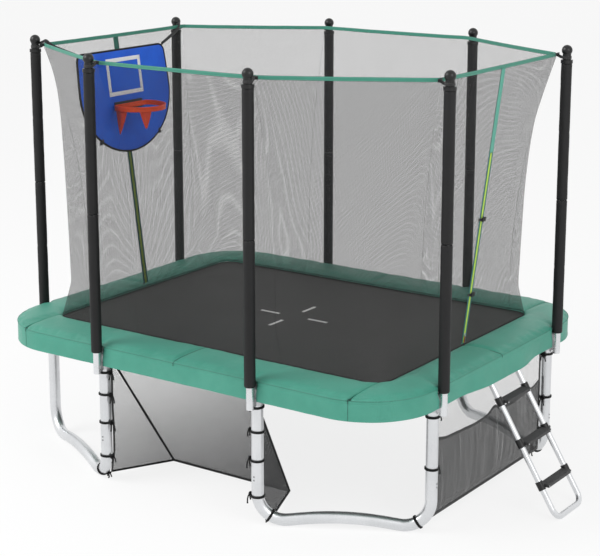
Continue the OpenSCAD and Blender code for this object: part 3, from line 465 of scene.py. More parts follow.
long_pitch, short_pitch = 2 * (mat_x - mat_r) / springs_long, 2 * (mat_y - mat_r) / springs_short
near_spots = [(-(mat_x - mat_r) + (i + 0.5) * long_pitch, -mat_y, 0, -1) for i in range(springs_long)]
right_spots = [(mat_x, -(mat_y - mat_r) + (i + 0.5) * short_pitch, 1, 0) for i in range(springs_short)]
steel_wire = galvanized("galvanized spring wire", 0.92, 0.3)
one_spring = spring_path()
spring_groups = []
for name, spots, away in (("near", near_spots, (0, -1)), ("right", right_spots, (1, 0)),
                          ("far", [(-x, -y, -dx, -dy) for x, y, dx, dy in near_spots], (0, 1)),
                          ("left", [(-x, -y, -dx, -dy) for x, y, dx, dy in right_spots], (-1, 0))):
    edge = (mat_x * away[0], mat_y * away[1])
    spring_groups.append((name, spots, edge, away, side_far, side_close))
for sx in (-1, 1):
    for sy in (-1, 1):
        angles = [radians(22.5 * k) for k in (1, 2, 3)]
        middle = (sx * (mat_x - mat_r), sy * (mat_y - mat_r))
        spots = [(middle[0] + sx * mat_r * cos(w), middle[1] + sy * mat_r * sin(w),
                  sx * cos(w), sy * sin(w)) for w in angles]
        name = ("far" if sy > 0 else "near") + ("_right" if sx > 0 else "_left")
        away = (sx * 0.5 ** 0.5, sy * 0.5 ** 0.5)
        spring_groups.append((name, spots, middle, away, corner_far, corner_close))
for name, spots, edge, away, far, close in spring_groups:
    springs = gather([tube(turned(one_spring, spot), wire_r, 5) for spot in spots])
    made = add_piece("springs_" + name, *springs, steel_wire, None)
    edge[0] + away[0] * far
    edge[1] + away[1] * far
    edge[0] + away[0] * close
    edge[1] + away[1] * close
    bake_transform(made)
    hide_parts("springs")


# ---- Jumping mat ---------------------------------------------------------------------------------
# A woven polypropylene sheet with a doubled hem. Sewn light dashes mark a cross at its middle. The springs
# draw its edge out a little more where each ring is sewn on.
mat_top, mat_low = 0.900, 0.897


def rounded_outline(a, b, r, step):
    """Points and outward directions round a rounded rectangle, from the right side's middle."""
    outline = []

    def straight(x0, y0, x1, y1, nx, ny):
        count = max(1, round(hypot(x1 - x0, y1 - y0) / step))
        for i in range(count):
            outline.append((x0 + (x1 - x0) * i / count, y0 + (y1 - y0) * i / count, nx, ny))

    def arc(cx, cy, begin):
        count = max(3, round(r * pi / 2 / step))
        for i in range(count):
            w = radians(begin + 90 * i / count)
            outline.append((cx + r * cos(w), cy + r * sin(w), cos(w), sin(w)))

    straight(a, -(b - r), a, b - r, 1, 0)
    arc(a - r, b - r, 0)
    straight(a - r, b, -(a - r), b, 0, 1)
    arc(-(a - r), b - r, 90)
    straight(-a, b - r, -a, -(b - r), -1, 0)
    arc(-(a - r), -(b - r), 180)
    straight(-(a - r), -b, a - r, -b, 0, -1)
    arc(a - r, -(b - r), 270)
    return outline


all_spots = [spot for group in spring_groups for spot in group[1]]
edge_step, slack_inset, pull_reach = 0.0145, 0.0022, 0.055
outline = rounded_outline(mat_x, mat_y, mat_r, edge_step)
rim = []
for x, y, nx, ny in outline:
    pull = min(hypot(x - sx, y - sy) for sx, sy, _, _ in all_spots)
    inset = slack_inset * sin(min(pull / pull_reach, 1) * pi / 2)
    rim.append((x - nx * inset, y - ny * inset, nx, ny))
# The mat's section in from its edge: under the hem, round the edge, over the hem and its step down.
hem_rows = [(0.0020, mat_low + 0.0003), (0.0004, mat_low + 0.0010), (0.0, mat_low + 0.0019),
            (0.0006, mat_top - 0.0004), (0.0030, mat_top), (0.0200, mat_top + 0.0001), (0.0480, mat_top),
            (0.0510, mat_top - 0.0009), (0.1100, mat_top - 0.0012)]
inner_shares = (0.8, 0.6, 0.4, 0.2)
points = [(x - nx * inset, y - ny * inset, z) for inset, z in hem_rows for x, y, nx, ny in rim]
inside_hem = points[-len(rim):]
for share in inner_shares:
    z = mat_top - 0.0012 - 0.003 * (1 - share ** 2)
    points += [(px * share, py * share, z) for px, py, _ in inside_hem]
rows = len(hem_rows) + len(inner_shares)
faces = grid_faces(rows, len(rim), True)
last = (rows - 1) * len(rim)
points.append((0, 0, mat_top - 0.0042))
faces += [(last + j, last + (j + 1) % len(rim), len(points) - 1) for j in range(len(rim))]
low_start = len(points)
points += [(x - nx * 0.06, y - ny * 0.06, mat_low) for x, y, nx, ny in rim]
points += [(px * 0.5, py * 0.5, mat_low - 0.0025) for px, py, _ in points[low_start:]]
points.append((0, 0, mat_low - 0.0040))
around = len(rim)
for j in range(around):
    k = (j + 1) % around
    faces.append((j, low_start + j, low_start + k, k)[::-1])
    faces.append((low_start + j, low_start + around + j, low_start + around + k, low_start + k)[::-1])
    faces.append((low_start + around + j, len(points) - 1, low_start + around + k)[::-1])

mat_weave, shader, place = new_material("woven jumping mat", 0.62)
across, along = place.axis("X"), place.axis("Y")
mat_pitch = 0.0026
weave = (across.waves(mat_pitch) * along.waves(mat_pitch) + 1) * 0.5
slub = place.stretch(1, 0.12, 1).noise(95.0, 3.0) * 0.5 + place.stretch(0.12, 1, 1).noise(95.0, 3.0) * 0.5
used = place.noise(1.7, 5.0)
dash_wide, dash_long, dash_out = 0.012, 0.075, 0.190
dash_x = ((along + 0.002).size() < dash_wide) * ((across.size() - dash_out).size() < dash_long)
dash_y = ((across + 0.010).size() < dash_wide) * ((along.size() - dash_out).size() < dash_long)
ground = (weave * 0.35 + slub * 0.4 + used * 0.25).mix((28, 28, 27), (59, 58, 56))
drive(shader, "Base Color", (dash_x + dash_y).mix(ground, (232, 232, 230)))
drive(shader, "Roughness", weave * 0.12 + used * 0.2 + 0.42)
raise_by(shader, weave * 0.7 + slub * 0.3, 0.0006)
mat_sheet = add_piece("jumping_mat", points, faces, mat_weave, "mat")
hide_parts("mat")

# Rows of lockstitch hold the hem: two lines run round the mat on its top side.
thread, shader, place = new_material("hem thread", 0.7)
twist = (place.axis("X") * 900 + place.axis("Y") * 900 + place.axis("Z") * 500).sin() * 0.5 + 0.5
drive(shader, "Base Color", twist.mix((70, 70, 70), (120, 120, 118)))
raise_by(shader, twist, 0.0003)
hem_lines, thread_r = (0.008, 0.044), 0.0006
lines = [[(x - nx * inset, y - ny * inset, mat_top + 0.0003) for x, y, nx, ny in outline]
         for inset in hem_lines]
hem = add_piece("mat_hem_stitches", *gather([tube(line, thread_r, 5, True) for line in lines]), thread, "mat")


# ---- Frame pads ----------------------------------------------------------------------------------
# Foam slabs in welded PVC tarpaulin cover the springs: two long pads and two short ones that take in the
# corners. A folded seam crosses the middle of each, and one closes each joint beside a corner.
pad_low, pad_crown = 0.9016, 0.9325
pad_inner, pad_outer = (1.261, 0.925, 0.100), (1.546, 1.260, 0.448)
pad_inner_high, pad_outer_high, crown_foot = 0.917, 0.908, 0.9125
seam_x = 1.235
pad_cell = 0.021
pole_half, pole_press = 0.056, 0.003


def bump(distance, half):
    """A smooth hump that is 1 at no distance and 0 from half on."""
    return 0 if abs(distance) >= half else (1 + cos(pi * distance / half)) / 2


def pad_dent(t, spot, depth):
    """How far a pad's outer edge gives way to the poles on its straight side."""
    return depth * max(bump(t - spot, pole_half), bump(t + spot, pole_half))


def side_dent(t):
    return pad_dent(t, leg_y, pad_outer[0] - (rail_x + pole_out - foam_r) + pole_press)


def long_dent(t):
    return pad_dent(t, leg_x, pad_outer[1] - (rail_y + pole_out - foam_r) + pole_press)


def seam_angle(corner):
    """Where the seam between two pads meets a rounded corner, as an angle on its arc."""
    return asin((seam_x - (corner[0] - corner[2])) / corner[2])


def arc_spot(corner, w):
    """A point on the near right corner, from the near side at angle 0 to the right side at a right angle."""
    a, b, r = corner
    return a - r + r * sin(w), -(b - r) - r * cos(w)


def pad_lines(short):
    """The inner and the outer edge of a pad as pairs of points: the right pad, or the near one."""
    pairs = []
    steps = 22 if short else 7
    limit = pi / 2 if short else 0
    for i in range(steps):
        pairs.append([arc_spot(c, seam_angle(c) + (limit - seam_angle(c)) * i / steps)
                      for c in (pad_inner, pad_outer)])
    if not short:
        pairs = [[(-x, y) for x, y in pair] for pair in pairs]
    axis = 1 if short else 0
    half_in, half_out = pad_inner[axis] - pad_inner[2], pad_outer[axis] - pad_outer[2]
    count = 2 * round(half_out / pad_cell)
    for i in range(count + 1):
        t = -1 + 2 * i / count
        if short:
            out = pad_outer[0] - side_dent(t * half_out)
            pairs.append([(pad_inner[0], t * half_in), (out, t * half_out)])
        else:
            out = pad_outer[1] - long_dent(t * half_out)
            pairs.append([(t * half_in, -pad_inner[1]), (t * half_out, -out)])
    flip = (1, -1) if short else (-1, 1)
    pairs += [[(x * flip[0], y * flip[1]) for x, y in pair] for pair in reversed(pairs[:steps])]
    return pairs


pad_rows = (0, 0.008, 0.03, 0.075, 0.14, 0.21, 0.28, 0.35, 0.42, 0.49, 0.56, 0.63, 0.70, 0.77, 0.835, 0.89,
            0.935, 0.968, 0.988, 1)


def between(first, last, share):
    """The place at a share of the way from one place to another."""
    return tuple(first[k] + (last[k] - first[k]) * share for k in (0, 1))


def pad_top(q, p, to_middle):
    """Height of a pad's top at share q across it and p along it, before it is filled."""
    edge = pad_inner_high + (pad_outer_high - pad_inner_high) * q
    crown = (pad_crown - 0.0025 - crown_foot) * sin(pi * min(1, max(0, q))) ** 0.55
    roll = 0.011 * (1 - min(1, q / 0.06)) ** 2 + 0.0062 * (1 - min(1, (1 - q) / 0.05)) ** 2
    ends = 1 - 0.5 * abs(2 * p - 1) ** 40
    middle = 1 - 0.55 * exp(-(to_middle / 0.011) ** 2) * min(1, 8 * q, 8 * (1 - q) + 0.25)
    return pad_low + (edge + crown * ends - roll - pad_low) * middle


def fill_with_air(piece, held, pressure, cap, loose, frames=14):
    """Lets a cover swell by cloth simulation with its held points fixed, and caps how far a point moves."""
    group = piece.vertex_groups.new(name="held")
    group.add(held, 1.0, "REPLACE")
    rest = [v.co.copy() for v in piece.data.vertices]
    cloth = piece.modifiers.new("air", "CLOTH")
    cloth.settings.quality = 4
    cloth.settings.mass = 0.25
    cloth.settings.tension_stiffness = 14
    cloth.settings.compression_stiffness = 14
    cloth.settings.shear_stiffness = 6
    cloth.settings.bending_stiffness = 0.35
    cloth.settings.use_pressure = True
    cloth.settings.uniform_pressure_force = pressure
    cloth.settings.shrink_min = -loose
    cloth.settings.vertex_group_mass = "held"
    cloth.settings.effector_weights.gravity = 0
    cloth.collision_settings.use_collision = False
    cloth.point_cache.frame_start = 1
    cloth.point_cache.frame_end = frames
    for step in range(1, frames + 1):
        scene.frame_set(step)
    graph = bpy.context.evaluated_depsgraph_get()
    moved = [v.co.copy() for v in piece.evaluated_get(graph).data.vertices]
    piece.modifiers.remove(cloth)
    scene.frame_set(1)
    for vertex, start, end in zip(piece.data.vertices, rest, moved):
        shift = end - start
        if shift.length > cap:
            shift *= cap / shift.length
        vertex.co = start + shift
    piece.vertex_groups.clear()


def smooth_once(piece, levels=1):
    """Applies a subdivision surface."""
    modifier = piece.modifiers.new("smooth", "SUBSURF")
    modifier.levels = modifier.render_levels = levels
    graph = bpy.context.evaluated_depsgraph_get()
    finished = bpy.data.meshes.new_from_object(piece.evaluated_get(graph))
    piece.modifiers.remove(modifier)
    old = piece.data
    piece.data = finished
    bpy.data.meshes.remove(old)
    piece.data.shade_smooth()


pvc, shader, place = new_material("green tarpaulin", 0.42, Specular_IOR_Level=0.5)
scrim_pitch = 0.0022
across, along, up = (place.axis(letter) for letter in "XYZ")
lying = across.waves(scrim_pitch) * along.waves(scrim_pitch)
upright = up.waves(scrim_pitch) * (across + along).waves(scrim_pitch)
scrim = (lying + upright) * 0.25 + 0.5
faded = place.noise(2.3, 4.0)
dust = place.noise(11.0, 6.0, 0.65)
ground = (faded * 0.55 + dust * 0.25 + scrim * 0.2).smooth(0.2, 0.8)
drive(shader, "Base Color", ground.mix((52, 140, 119), (80, 163, 142)))
drive(shader, "Roughness", dust * 0.25 + scrim * 0.08 + 0.26)
raise_by(shader, scrim * 0.35 + place.noise(26.0, 4.0) * 0.65, 0.0016, 0.8)


def pad_piece(name, short, flip):
    """Builds one pad as a closed cover, fills it and smooths it."""
    pairs = pad_lines(short)
    rows, count = len(pad_rows), len(pairs)
    points = []
    middle = pairs[(count - 1) // 2]
    for i, (inner, outer) in enumerate(pairs):
        to_middle = abs(outer[1 if short else 0] - middle[1][1 if short else 0])
        for q in pad_rows:
            x, y = between(inner, outer, q)
            points.append((x * flip, y * flip, pad_top(q, i / (count - 1), to_middle)))
    top = len(points)
    low_rows = (0.0, 0.25, 0.5, 0.75, 1.0)
    for inner, outer in pairs:
        for q in low_rows:
            x, y = between(inner, outer, 0.004 + 0.992 * q)
            points.append((x * flip, y * flip, pad_low))
    wide = len(low_rows)
    faces = [face[::-1] for face in grid_faces(count, rows)]
    faces += grid_faces(count, wide, start=top)
    for i in range(count - 1):
        first, second = i * rows, (i + 1) * rows
        low, next_low = top + i * wide, top + (i + 1) * wide
        faces += [(first, second, next_low, low),
                  (first + rows - 1, low + wide - 1, next_low + wide - 1, second + rows - 1)]
    for row, turn in ((0, 1), (count - 1, -1)):
        edge = [row * rows + j for j in range(rows)] + [top + row * wide + j for j in reversed(range(wide))]
        faces.append(tuple(edge[::turn]))
    made = add_piece(name, points, faces, pvc)
    half = (count - 1) // 2
    held = list(range(top, len(points)))
    held += [i * rows + j for i in range(count) for j in (0, rows - 1)]
    held += [i * rows + j for i in (0, count - 1, half) for j in range(rows)]
    fill_with_air(made, sorted(set(held)), pressure=2.2, cap=0.0055, loose=0.012)
    smooth_once(made)
    return made, pairs


pads = {}
for name, short, flip in (("near", False, 1), ("right", True, 1), ("far", False, -1), ("left", True, -1)):
    made, pairs = pad_piece("pad_cover_" + name, short, flip)
    pads[name] = (made, [[(x * flip, y * flip) for x, y in pair] for pair in pairs])
    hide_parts("pad_" + name)

# A folded seam closes the gap between neighbouring pads and crosses each pad's middle. It shows as a dark
# raised line that ends just over the outer crease. Green welts edge the covers inside and outside.
seam_fold, shader, place = new_material("dark seam binding", 0.6)
twill = (place.axis("X") + place.axis("Y") + place.axis("Z")).ribs(2 * pi / 2400)
drive(shader, "Base Color", twill.mix((24, 58, 52), (44, 88, 79)))
raise_by(shader, twill, 0.0004)
welt, shader, place = new_material("green welt", 0.5)
twill = (place.axis("X") - place.axis("Y")).ribs(2 * pi / 2000)
drive(shader, "Base Color", twill.mix((50, 118, 101), (84, 152, 135)))
raise_by(shader, twill, 0.0004)


def surface(piece):
    """A piece's surface, ready for rays to be cast at it."""
    mesh = piece.data
    return BVHTree.FromPolygons([v.co for v in mesh.vertices], [p.vertices for p in mesh.polygons])


def height_over(piece):
    """A function that gives a piece's top height over a place."""
    found = surface(piece)

    def height(x, y, otherwise):
        hit = found.ray_cast(Vector((x, y, 1.2)), Vector((0, 0, -1)))
        return hit[0].z if hit[0] and hit[0].z > 0.88 else otherwise
    return height


seam_r, stitch_r, stitch_shares, stitch_pitch = 0.0019, 0.0006, (0.038, 0.945), 0.0085
seams, welts, stitches = [], [], []
for name, (piece, pairs) in pads.items():
    height = height_over(piece)
    for at in (len(pairs) - 1) // 2, len(pairs) - 1:
        inner, outer = pairs[at]
        line = []
        for i in range(31):
            x, y = between(inner, outer, 0.012 + 0.978 * i / 30)
            line.append((x, y, height(x, y, 0.905) + 0.0004))
        x, y = between(inner, outer, 1.004)
        line += [(x, y, 0.9035), (x, y, 0.897), (x, y, 0.884)]
        seams.append(tube(line, seam_r, 6))
    for share, high, radius in ((1.001, 0.9030, 0.0017), (0.0, 0.9058, 0.0015)):
        welts.append(tube([(*between(inner, outer, share), high) for inner, outer in pairs], radius, 6))
    for share in stitch_shares:
        row = [between(inner, outer, share) for inner, outer in pairs]
        for first, second in zip(row, row[1:]):
            count = max(1, round(dist(first, second) / stitch_pitch))
            for i in range(count):
                spots = [between(first, second, (i + t) / count) for t in (0.15, 0.5, 0.8)]
                line = [(x, y, height(x, y, 0.91) + lift) for (x, y), lift in zip(spots, (0, 0.0006, 0))]
                stitches.append(tube(line, stitch_r, 4))
seam_lines = add_piece("pad_seams", *gather(seams), seam_fold)
welt_lines = add_piece("pad_welts", *gather(welts), welt)
stitch_lines = add_piece("pad_stitches", *gather(stitches), welt)


# ---- Skirt ---------------------------------------------------------------------------------------
# A hanging edge of the same tarpaulin hides the springs. It hangs in lengths between the poles, hemmed at
# every edge and tucked in at the foam. The panel over the ladder hangs free at its ends and can swing out.
skirt_high, skirt_low = 0.9010, 0.781
skirt_rows = (0, 0.03, 0.09, 0.125, 0.14, 0.16, 0.25, 0.36, 0.48, 0.6, 0.72, 0.82, 0.9, 0.935, 0.95, 0.985, 1)


def perimeter(begin, end, steps_per_m=62):
    """Places along the pad's outer line with the dent there, in metres from the right side's middle."""
    a, b, r = pad_outer
    sizes = (b - r, r * pi / 2, 2 * (a - r), r * pi / 2, 2 * (b - r), r * pi / 2, 2 * (a - r),
             r * pi / 2, b - r)
    total = sum(sizes)
    places = []
    count = round((end - begin) * steps_per_m)
    for i in range(count + 1):
        s = (begin + (end - begin) * i / count) % total
        at = s
        for part, size in enumerate(sizes):
            if at <= size + 1e-9:
                break
            at -= size
        if part in (0, 4, 8):
            y = at if part == 0 else b - r - at if part == 4 else at - (b - r)
            x, y, nx, ny, dent = (a, y, 1, 0, side_dent(y)) if part != 4 else (-a, y, -1, 0, side_dent(y))
        elif part in (2, 6):
            x = a - r - at if part == 2 else at - (a - r)
            x, y, nx, ny, dent = (x, b, 0, 1, long_dent(x)) if part == 2 else (x, -b, 0, -1, long_dent(x))
        else:
            w = at / r + {1: 0, 3: 1, 5: 2, 7: 3}[part] * pi / 2
            cx = (a - r) * (1 if part in (1, 7) else -1)
            cy = (b - r) * (1 if part in (1, 3) else -1)
            x, y, nx, ny, dent = cx + r * cos(w), cy + r * sin(w), cos(w), sin(w), 0
        places.append((x, y, nx, ny, s, dent))
    return places


a, b, r = pad_outer
quarter = r * pi / 2
long_side, short_side = 2 * (a - r), 2 * (b - r)
round_all = 2 * (long_side + short_side) + 4 * quarter
flap_edge, past_long, past_short = leg_y - 0.038, 0.027, 0.023
flap_out, flap_full = 0.042, 0.28
far_mid, left_mid, near_mid = round_all * 0.25, round_all * 0.5, round_all * 0.75
long_out, short_out = leg_x + past_long, leg_y + past_short
long_in, short_in = leg_x - past_long, leg_y - past_short
corner_ends = [("far_right", short_out, far_mid - long_out),
               ("far_left", far_mid + long_out, left_mid - short_out),
               ("near_left", left_mid + short_out, near_mid - long_out),
               ("near_right", near_mid + long_out, round_all - short_out)]
plain_ends = [("far", far_mid - long_in, far_mid + long_in),
              ("left", left_mid - short_in, left_mid + short_in),
              ("near", near_mid - long_in, near_mid + long_in)]


def flap_stand(y, down):
    """How far the panel over the ladder stands out at y, at a share down from its top edge."""
    t = abs(y) / (leg_y - 0.040)
    wide = 1 if t < flap_full else bump(t - flap_full, 0.5) ** 1.2
    return flap_out * down ** 1.1 * wide


def thin_sheet_faces(rows, columns):
    """Faces of a thin sheet of two layers of points, closed round its rim."""
    half, last = rows * columns, (rows - 1) * columns
    faces = grid_faces(rows, columns) + [face[::-1] for face in grid_faces(rows, columns, start=half)]
    rim = list(range(columns)) + [i * columns + columns - 1 for i in range(1, rows)]
    rim += list(range(last + columns - 2, last - 1, -1)) + [i * columns for i in range(rows - 2, 0, -1)]
    return faces + [(here, after, half + after, half + here) for here, after in zip(rim, rim[1:] + rim[:1])]


def skirt_piece(name, begin, end, body, seed, node_name, flap=False):
    """One hanging panel as a thin closed sheet with two faces."""
    places = perimeter(begin, end)
    points = []
    for layer in (0, 1):
        for x, y, nx, ny, s, dent in places:
            near_pole = max(bump(abs(x) - leg_x, 0.09) if abs(ny) == 1 else 0,
                            bump(abs(y) - leg_y, 0.09) if abs(nx) == 1 else 0)
            for down in skirt_rows:
                z = skirt_high - (skirt_high - skirt_low) * down
                wave = 0.0032 * ripple(seed, s * 5.2, down * 0.8) * down ** 1.2
                wave += 0.0012 * ripple(seed + 9, s * 17, down * 1.5) * sqrt(down)
                out = wave * (1 - 0.85 * near_pole) - 0.0006 - 0.0012 * exp(-((down - 0.14) / 0.012) ** 2)
                out -= dent * min(1, max(0, (0.6 - down) / 0.3))
                out += 0.0008 * (down > 0.94)
                if flap:
                    out += flap_stand(y, down)
                out -= (0.0016 + 0.0014 * (down > 0.94)) * layer + 0.0010 * near_pole * layer
                points.append((x + nx * out, y + ny * out, z))
    made = add_piece(name, points, thin_sheet_faces(len(places), len(skirt_rows)), pvc, body)
    end - begin
    return made


for seed, (name, begin, end) in enumerate(plain_ends):
    made = skirt_piece("skirt_cloth_" + name, begin, end, "frame", 31 + seed, "pad_cover_" + name)
    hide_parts("skirt_" + name)
corner_skirts = []
for seed, (name, begin, end) in enumerate(corner_ends):
    made = skirt_piece("skirt_cloth_" + name, begin, end, "frame", 41 + seed,
                       "pad_cover_right" if "right" in name else "pad_cover_left")
    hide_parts("skirt_corners")
    corner_skirts.append(surface(made))

# Each corner length is joined under the seam between two pads: a sewn line down the skirt's outside.
seam_head, seam_step, skirt_seam_r = 0.8985, 0.0071, 0.0013
skirt_seams = []
for _, pairs in pads.values():
    foot = Vector((*pairs[-1][1], 0.0))
    middle = Vector((copysign(a - r, foot.x), copysign(b - r, foot.y), 0.0))
    away = (foot - middle).normalized()
    line = []
    for k in range(17):
        start = middle + away * (r + 0.1) + Vector((0, 0, seam_head - seam_step * k))
        found = [hit for hit in (skirt.ray_cast(start, -away, 0.2)[0] for skirt in corner_skirts) if hit]
        line += [hit + away * 0.0002 for hit in found[:1]]
    skirt_seams.append(tube(line, skirt_seam_r, 6))
made = add_piece("skirt_seams", *gather(skirt_seams), seam_fold)
made = skirt_piece("skirt_cloth_right", round_all - flap_edge, round_all + flap_edge, "skirt_flap", 55,
                   "pad_cover_right", flap=True)
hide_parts("skirt_right")


# ---- Safety net ----------------------------------------------------------------------------------
# A dark knitted polyester net hangs from the top band and comes in to the mat all round. Its eight panels are
# seamed beside the poles, and its lower edge is laced down between the pads and the mat.
net_top, net_waist, net_tuck, net_foot = 2.648, 1.130, 0.920, 0.9075
top_half, waist_half, foot_half = (1.490, 1.216), (1.290, 0.958, 0.360), (1.259, 0.923, 0.098)
top_mark, waist_mark, foot_mark = (0.577, 0.715), (0.540, 0.560), (0.560, 0.640)


def round_corner(size, marks, share):
    """A point from the near side's mark round the corner to the right side's mark."""
    a, b, r = size
    side, arc, end = a - r - marks[0], r * pi / 2, b - r - marks[1]
    d = share * (side + arc + end)
    if d <= side:
        return marks[0] + d, -b
    if d <= side + arc:
        return arc_spot(size, (d - side) / r)
    return a, -(b - r) + d - side - arc


def near_column(share):
    s = 2 * share - 1
    return ((s * top_mark[0], -top_half[1]), (s * waist_mark[0], -waist_half[1]),
            (s * foot_mark[0], -foot_half[1]), abs(s) ** 2)


def right_column(share):
    s = 2 * share - 1
    return ((top_half[0], s * top_mark[1]), (waist_half[0], s * waist_mark[1]),
            (foot_half[0], s * foot_mark[1]), abs(s) ** 4)


def corner_column(share):
    top = between((top_mark[0], -top_half[1]), (top_half[0], -top_mark[1]), share)
    return (top, round_corner(waist_half, waist_mark, share), round_corner(foot_half, foot_mark, share),
            abs(2 * share - 1) ** 2)


def net_spot(column, z):
    """A point of a net column at a height: straight in mid panel, pulled in sooner beside the poles."""
    top, waist, foot, side = column
    t = min(1, (net_top - z) / (net_top - net_waist))
    w = t * (1 - side) + (1 - (1 - t) ** 2.2) * side
    s = max(0, (net_waist - z) / (net_waist - net_tuck))
    return tuple(top[k] + (waist[k] - top[k]) * w + (foot[k] - waist[k]) * s for k in (0, 1))


def weave_of(material):
    """The place on a piece's weave: u across it and v along it, in metres."""
    return Wire(material.node_tree).add("UVMap", {}, {}, "UV")


def knitted_mesh(name, pitch, thread, dark, light, sheer=0.0, streaks_and_painted_sheen=0.0):
    """Open mesh of crossing threads. The pitch is in metres, and thread is a share of it."""
    made, shader, _ = new_material(name, 0.72)
    weave = weave_of(made)
    u, v = weave.axis("X") * (1 / pitch), weave.axis("Y") * (0.82 / pitch)
    edge = 0.5 - thread / 2
    lines = [(way.math("FRACT", way) - 0.5).size().smooth(edge - 0.05, edge + 0.03) for way in (u + v, u - v)]
    covered = lines[0].math("MAXIMUM", lines[0], lines[1])
    streak = weave.stretch(9, 0.5, 1).noise(3.0, 3.0)
    body = covered * (1 - sheer) + sheer
    # Painted sheen: this share makes the mesh's cover rise and fall in streaky bands, partly real streaks in
    # the knit and partly painted sheen that stands in for light on its folds.
    if streaks_and_painted_sheen:
        body = body * ((weave.stretch(24, 0.5, 1).noise(3.0, 2.0) + streak - 1.0) * streaks_and_painted_sheen + 1.0)
    drive(shader, "Alpha", body)
    tone = streak * 0.25 + lines[0] * 0.4 + 0.18
    drive(shader, "Base Color", tone.mix(dark, light))
    drive(shader, "Roughness", streak * 0.2 + 0.62)
    return made


net_mesh = knitted_mesh("knitted net", 0.0085, 0.15, (13, 13, 14), (34, 34, 35), 0.11)
net_heights = [net_top - (net_top - net_foot) * i / 42 for i in range(43)]


def net_grid(column, count, seed, signs, heights=net_heights, begin=0.0, end=1.0, out=0.0):
    """A net panel's points and faces. The signs of x and y place it on another side."""
    rows = []
    for i in range(count + 1):
        share = begin + (end - begin) * i / count
        now = column(share)
        after, before = column(min(1, share + 0.01)), column(max(0, share - 0.01))
        line = []
        for z in heights:
            x, y = net_spot(now, z)
            ax, ay = net_spot(after, z)
            bx, by = net_spot(before, z)
            span = hypot(ax - bx, ay - by)
            nx, ny = (ay - by) / span, -(ax - bx) / span
            down = (net_top - z) / (net_top - net_foot)
            free = sin(pi * min(1, max(0, down)) ** 0.8)
            wave = 0.0042 * ripple(seed, share * 7, z * 0.9) + 0.0016 * ripple(seed + 5, share * 21, z * 0.5)
            strain = 0.004 * exp(-down / 0.16) * sin(down * 12) * (2 * share - 1) ** 2
            wave = wave * free + strain + out + 0.0015
            line.append((x + nx * wave, y + ny * wave, z))
        rows.append(line)
    points = []
    for i, line in enumerate(rows):
        v = 0.0
        for j, (x, y, z) in enumerate(line):
            middle = rows[count // 2][j]
            u = copysign(dist((x, y, z), middle), i - count // 2)
            if j:
                v += dist((x, y, z), line[j - 1])
            points.append((x * signs[0], y * signs[1], z, u, v))
    return points, grid_faces(count + 1, len(heights))


near_cut, right_cut, corner_cut = ((1.154, 1.79), 1.98), ((1.43, 1.77), 2.27), ((1.04, 1.80), 1.85)
panel_list = [("near", near_column, 26, (1, 1), "net_near", near_cut),
              ("far", near_column, 26, (-1, -1), "net_far", near_cut),
              ("right", right_column, 32, (1, 1), "net_right", right_cut),
              ("left", right_column, 32, (-1, -1), "net_left", right_cut),
              ("near_right", corner_column, 26, (1, 1), "net_corners", corner_cut),
              ("far_right", corner_column, 26, (1, -1), "net_corners", corner_cut),
              ("near_left", corner_column, 26, (-1, 1), "net_corners", corner_cut),
              ("far_left", corner_column, 26, (-1, -1), "net_corners", corner_cut)]
hem_high, seam_share, trim_out = 0.012, 0.003, 0.0012
hem_heights = [net_foot + hem_high - hem_high * i / 3 for i in range(4)]
seam_strips, foot_hems = [], []
for seed, (name, column, count, signs, replaced, (flat, area)) in enumerate(panel_list):
    made = add_piece("net_panel_" + name, *net_grid(column, count, 60 + seed, signs), net_mesh)
    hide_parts(replaced)
    pads_under = ["pad_cover_" + side for side in name.split("_")]
    foot_hems.append(net_grid(column, count, 60 + seed, signs, hem_heights, out=trim_out))
    if "_" in name:
        for begin, end in ((0, seam_share), (1 - seam_share, 1)):
            seam_strips.append(net_grid(column, 2, 60 + seed, signs, begin=begin, end=end, out=trim_out))
seam_piece = add_piece("net_seams", *gather(seam_strips), net_mesh)
foot_piece = add_piece("net_foot_hem", *gather(foot_hems), net_mesh)


# ---- Top band and loops --------------------------------------------------------------------------
# A green webbing band runs round the top of the net inside the poles. At each pole it is sewn to a black
# loop that goes round the cap's neck.
band_low, band_high = 2.6485, 2.6735


def strip(path, sideways, width, thick, crown=0.0):
    """A flat strip along a path: sideways is the direction of its width, or one direction for each point."""
    path = [Vector(p) for p in path]
    points = []
    run = 0.0
    profile = [(-0.5, 0.25), (-0.46, 0.5), (-0.2, 0.5 + crown), (0.2, 0.5 + crown), (0.46, 0.5), (0.5, 0.25),
               (0.5, -0.25), (0.46, -0.5), (0, -0.5), (-0.46, -0.5), (-0.5, -0.25)]
    for i, here in enumerate(path):
        along = (path[min(i + 1, len(path) - 1)] - path[max(i - 1, 0)]).normalized()
        side = Vector(sideways[i] if isinstance(sideways, list) else sideways)
        side = (side - along * side.dot(along)).normalized()
        face = side.cross(along)
        if i:
            run += (here - path[i - 1]).length
        for across, out in profile:
            spot = here + side * (across * width) + face * (out * thick)
            points.append((*spot, (across + 0.5) * width, run))
    size = len(profile)
    last = (len(path) - 1) * size
    faces = grid_faces(len(path), size, True)
    faces += [tuple(reversed(range(size))), tuple(last + k for k in range(size))]
    return points, faces


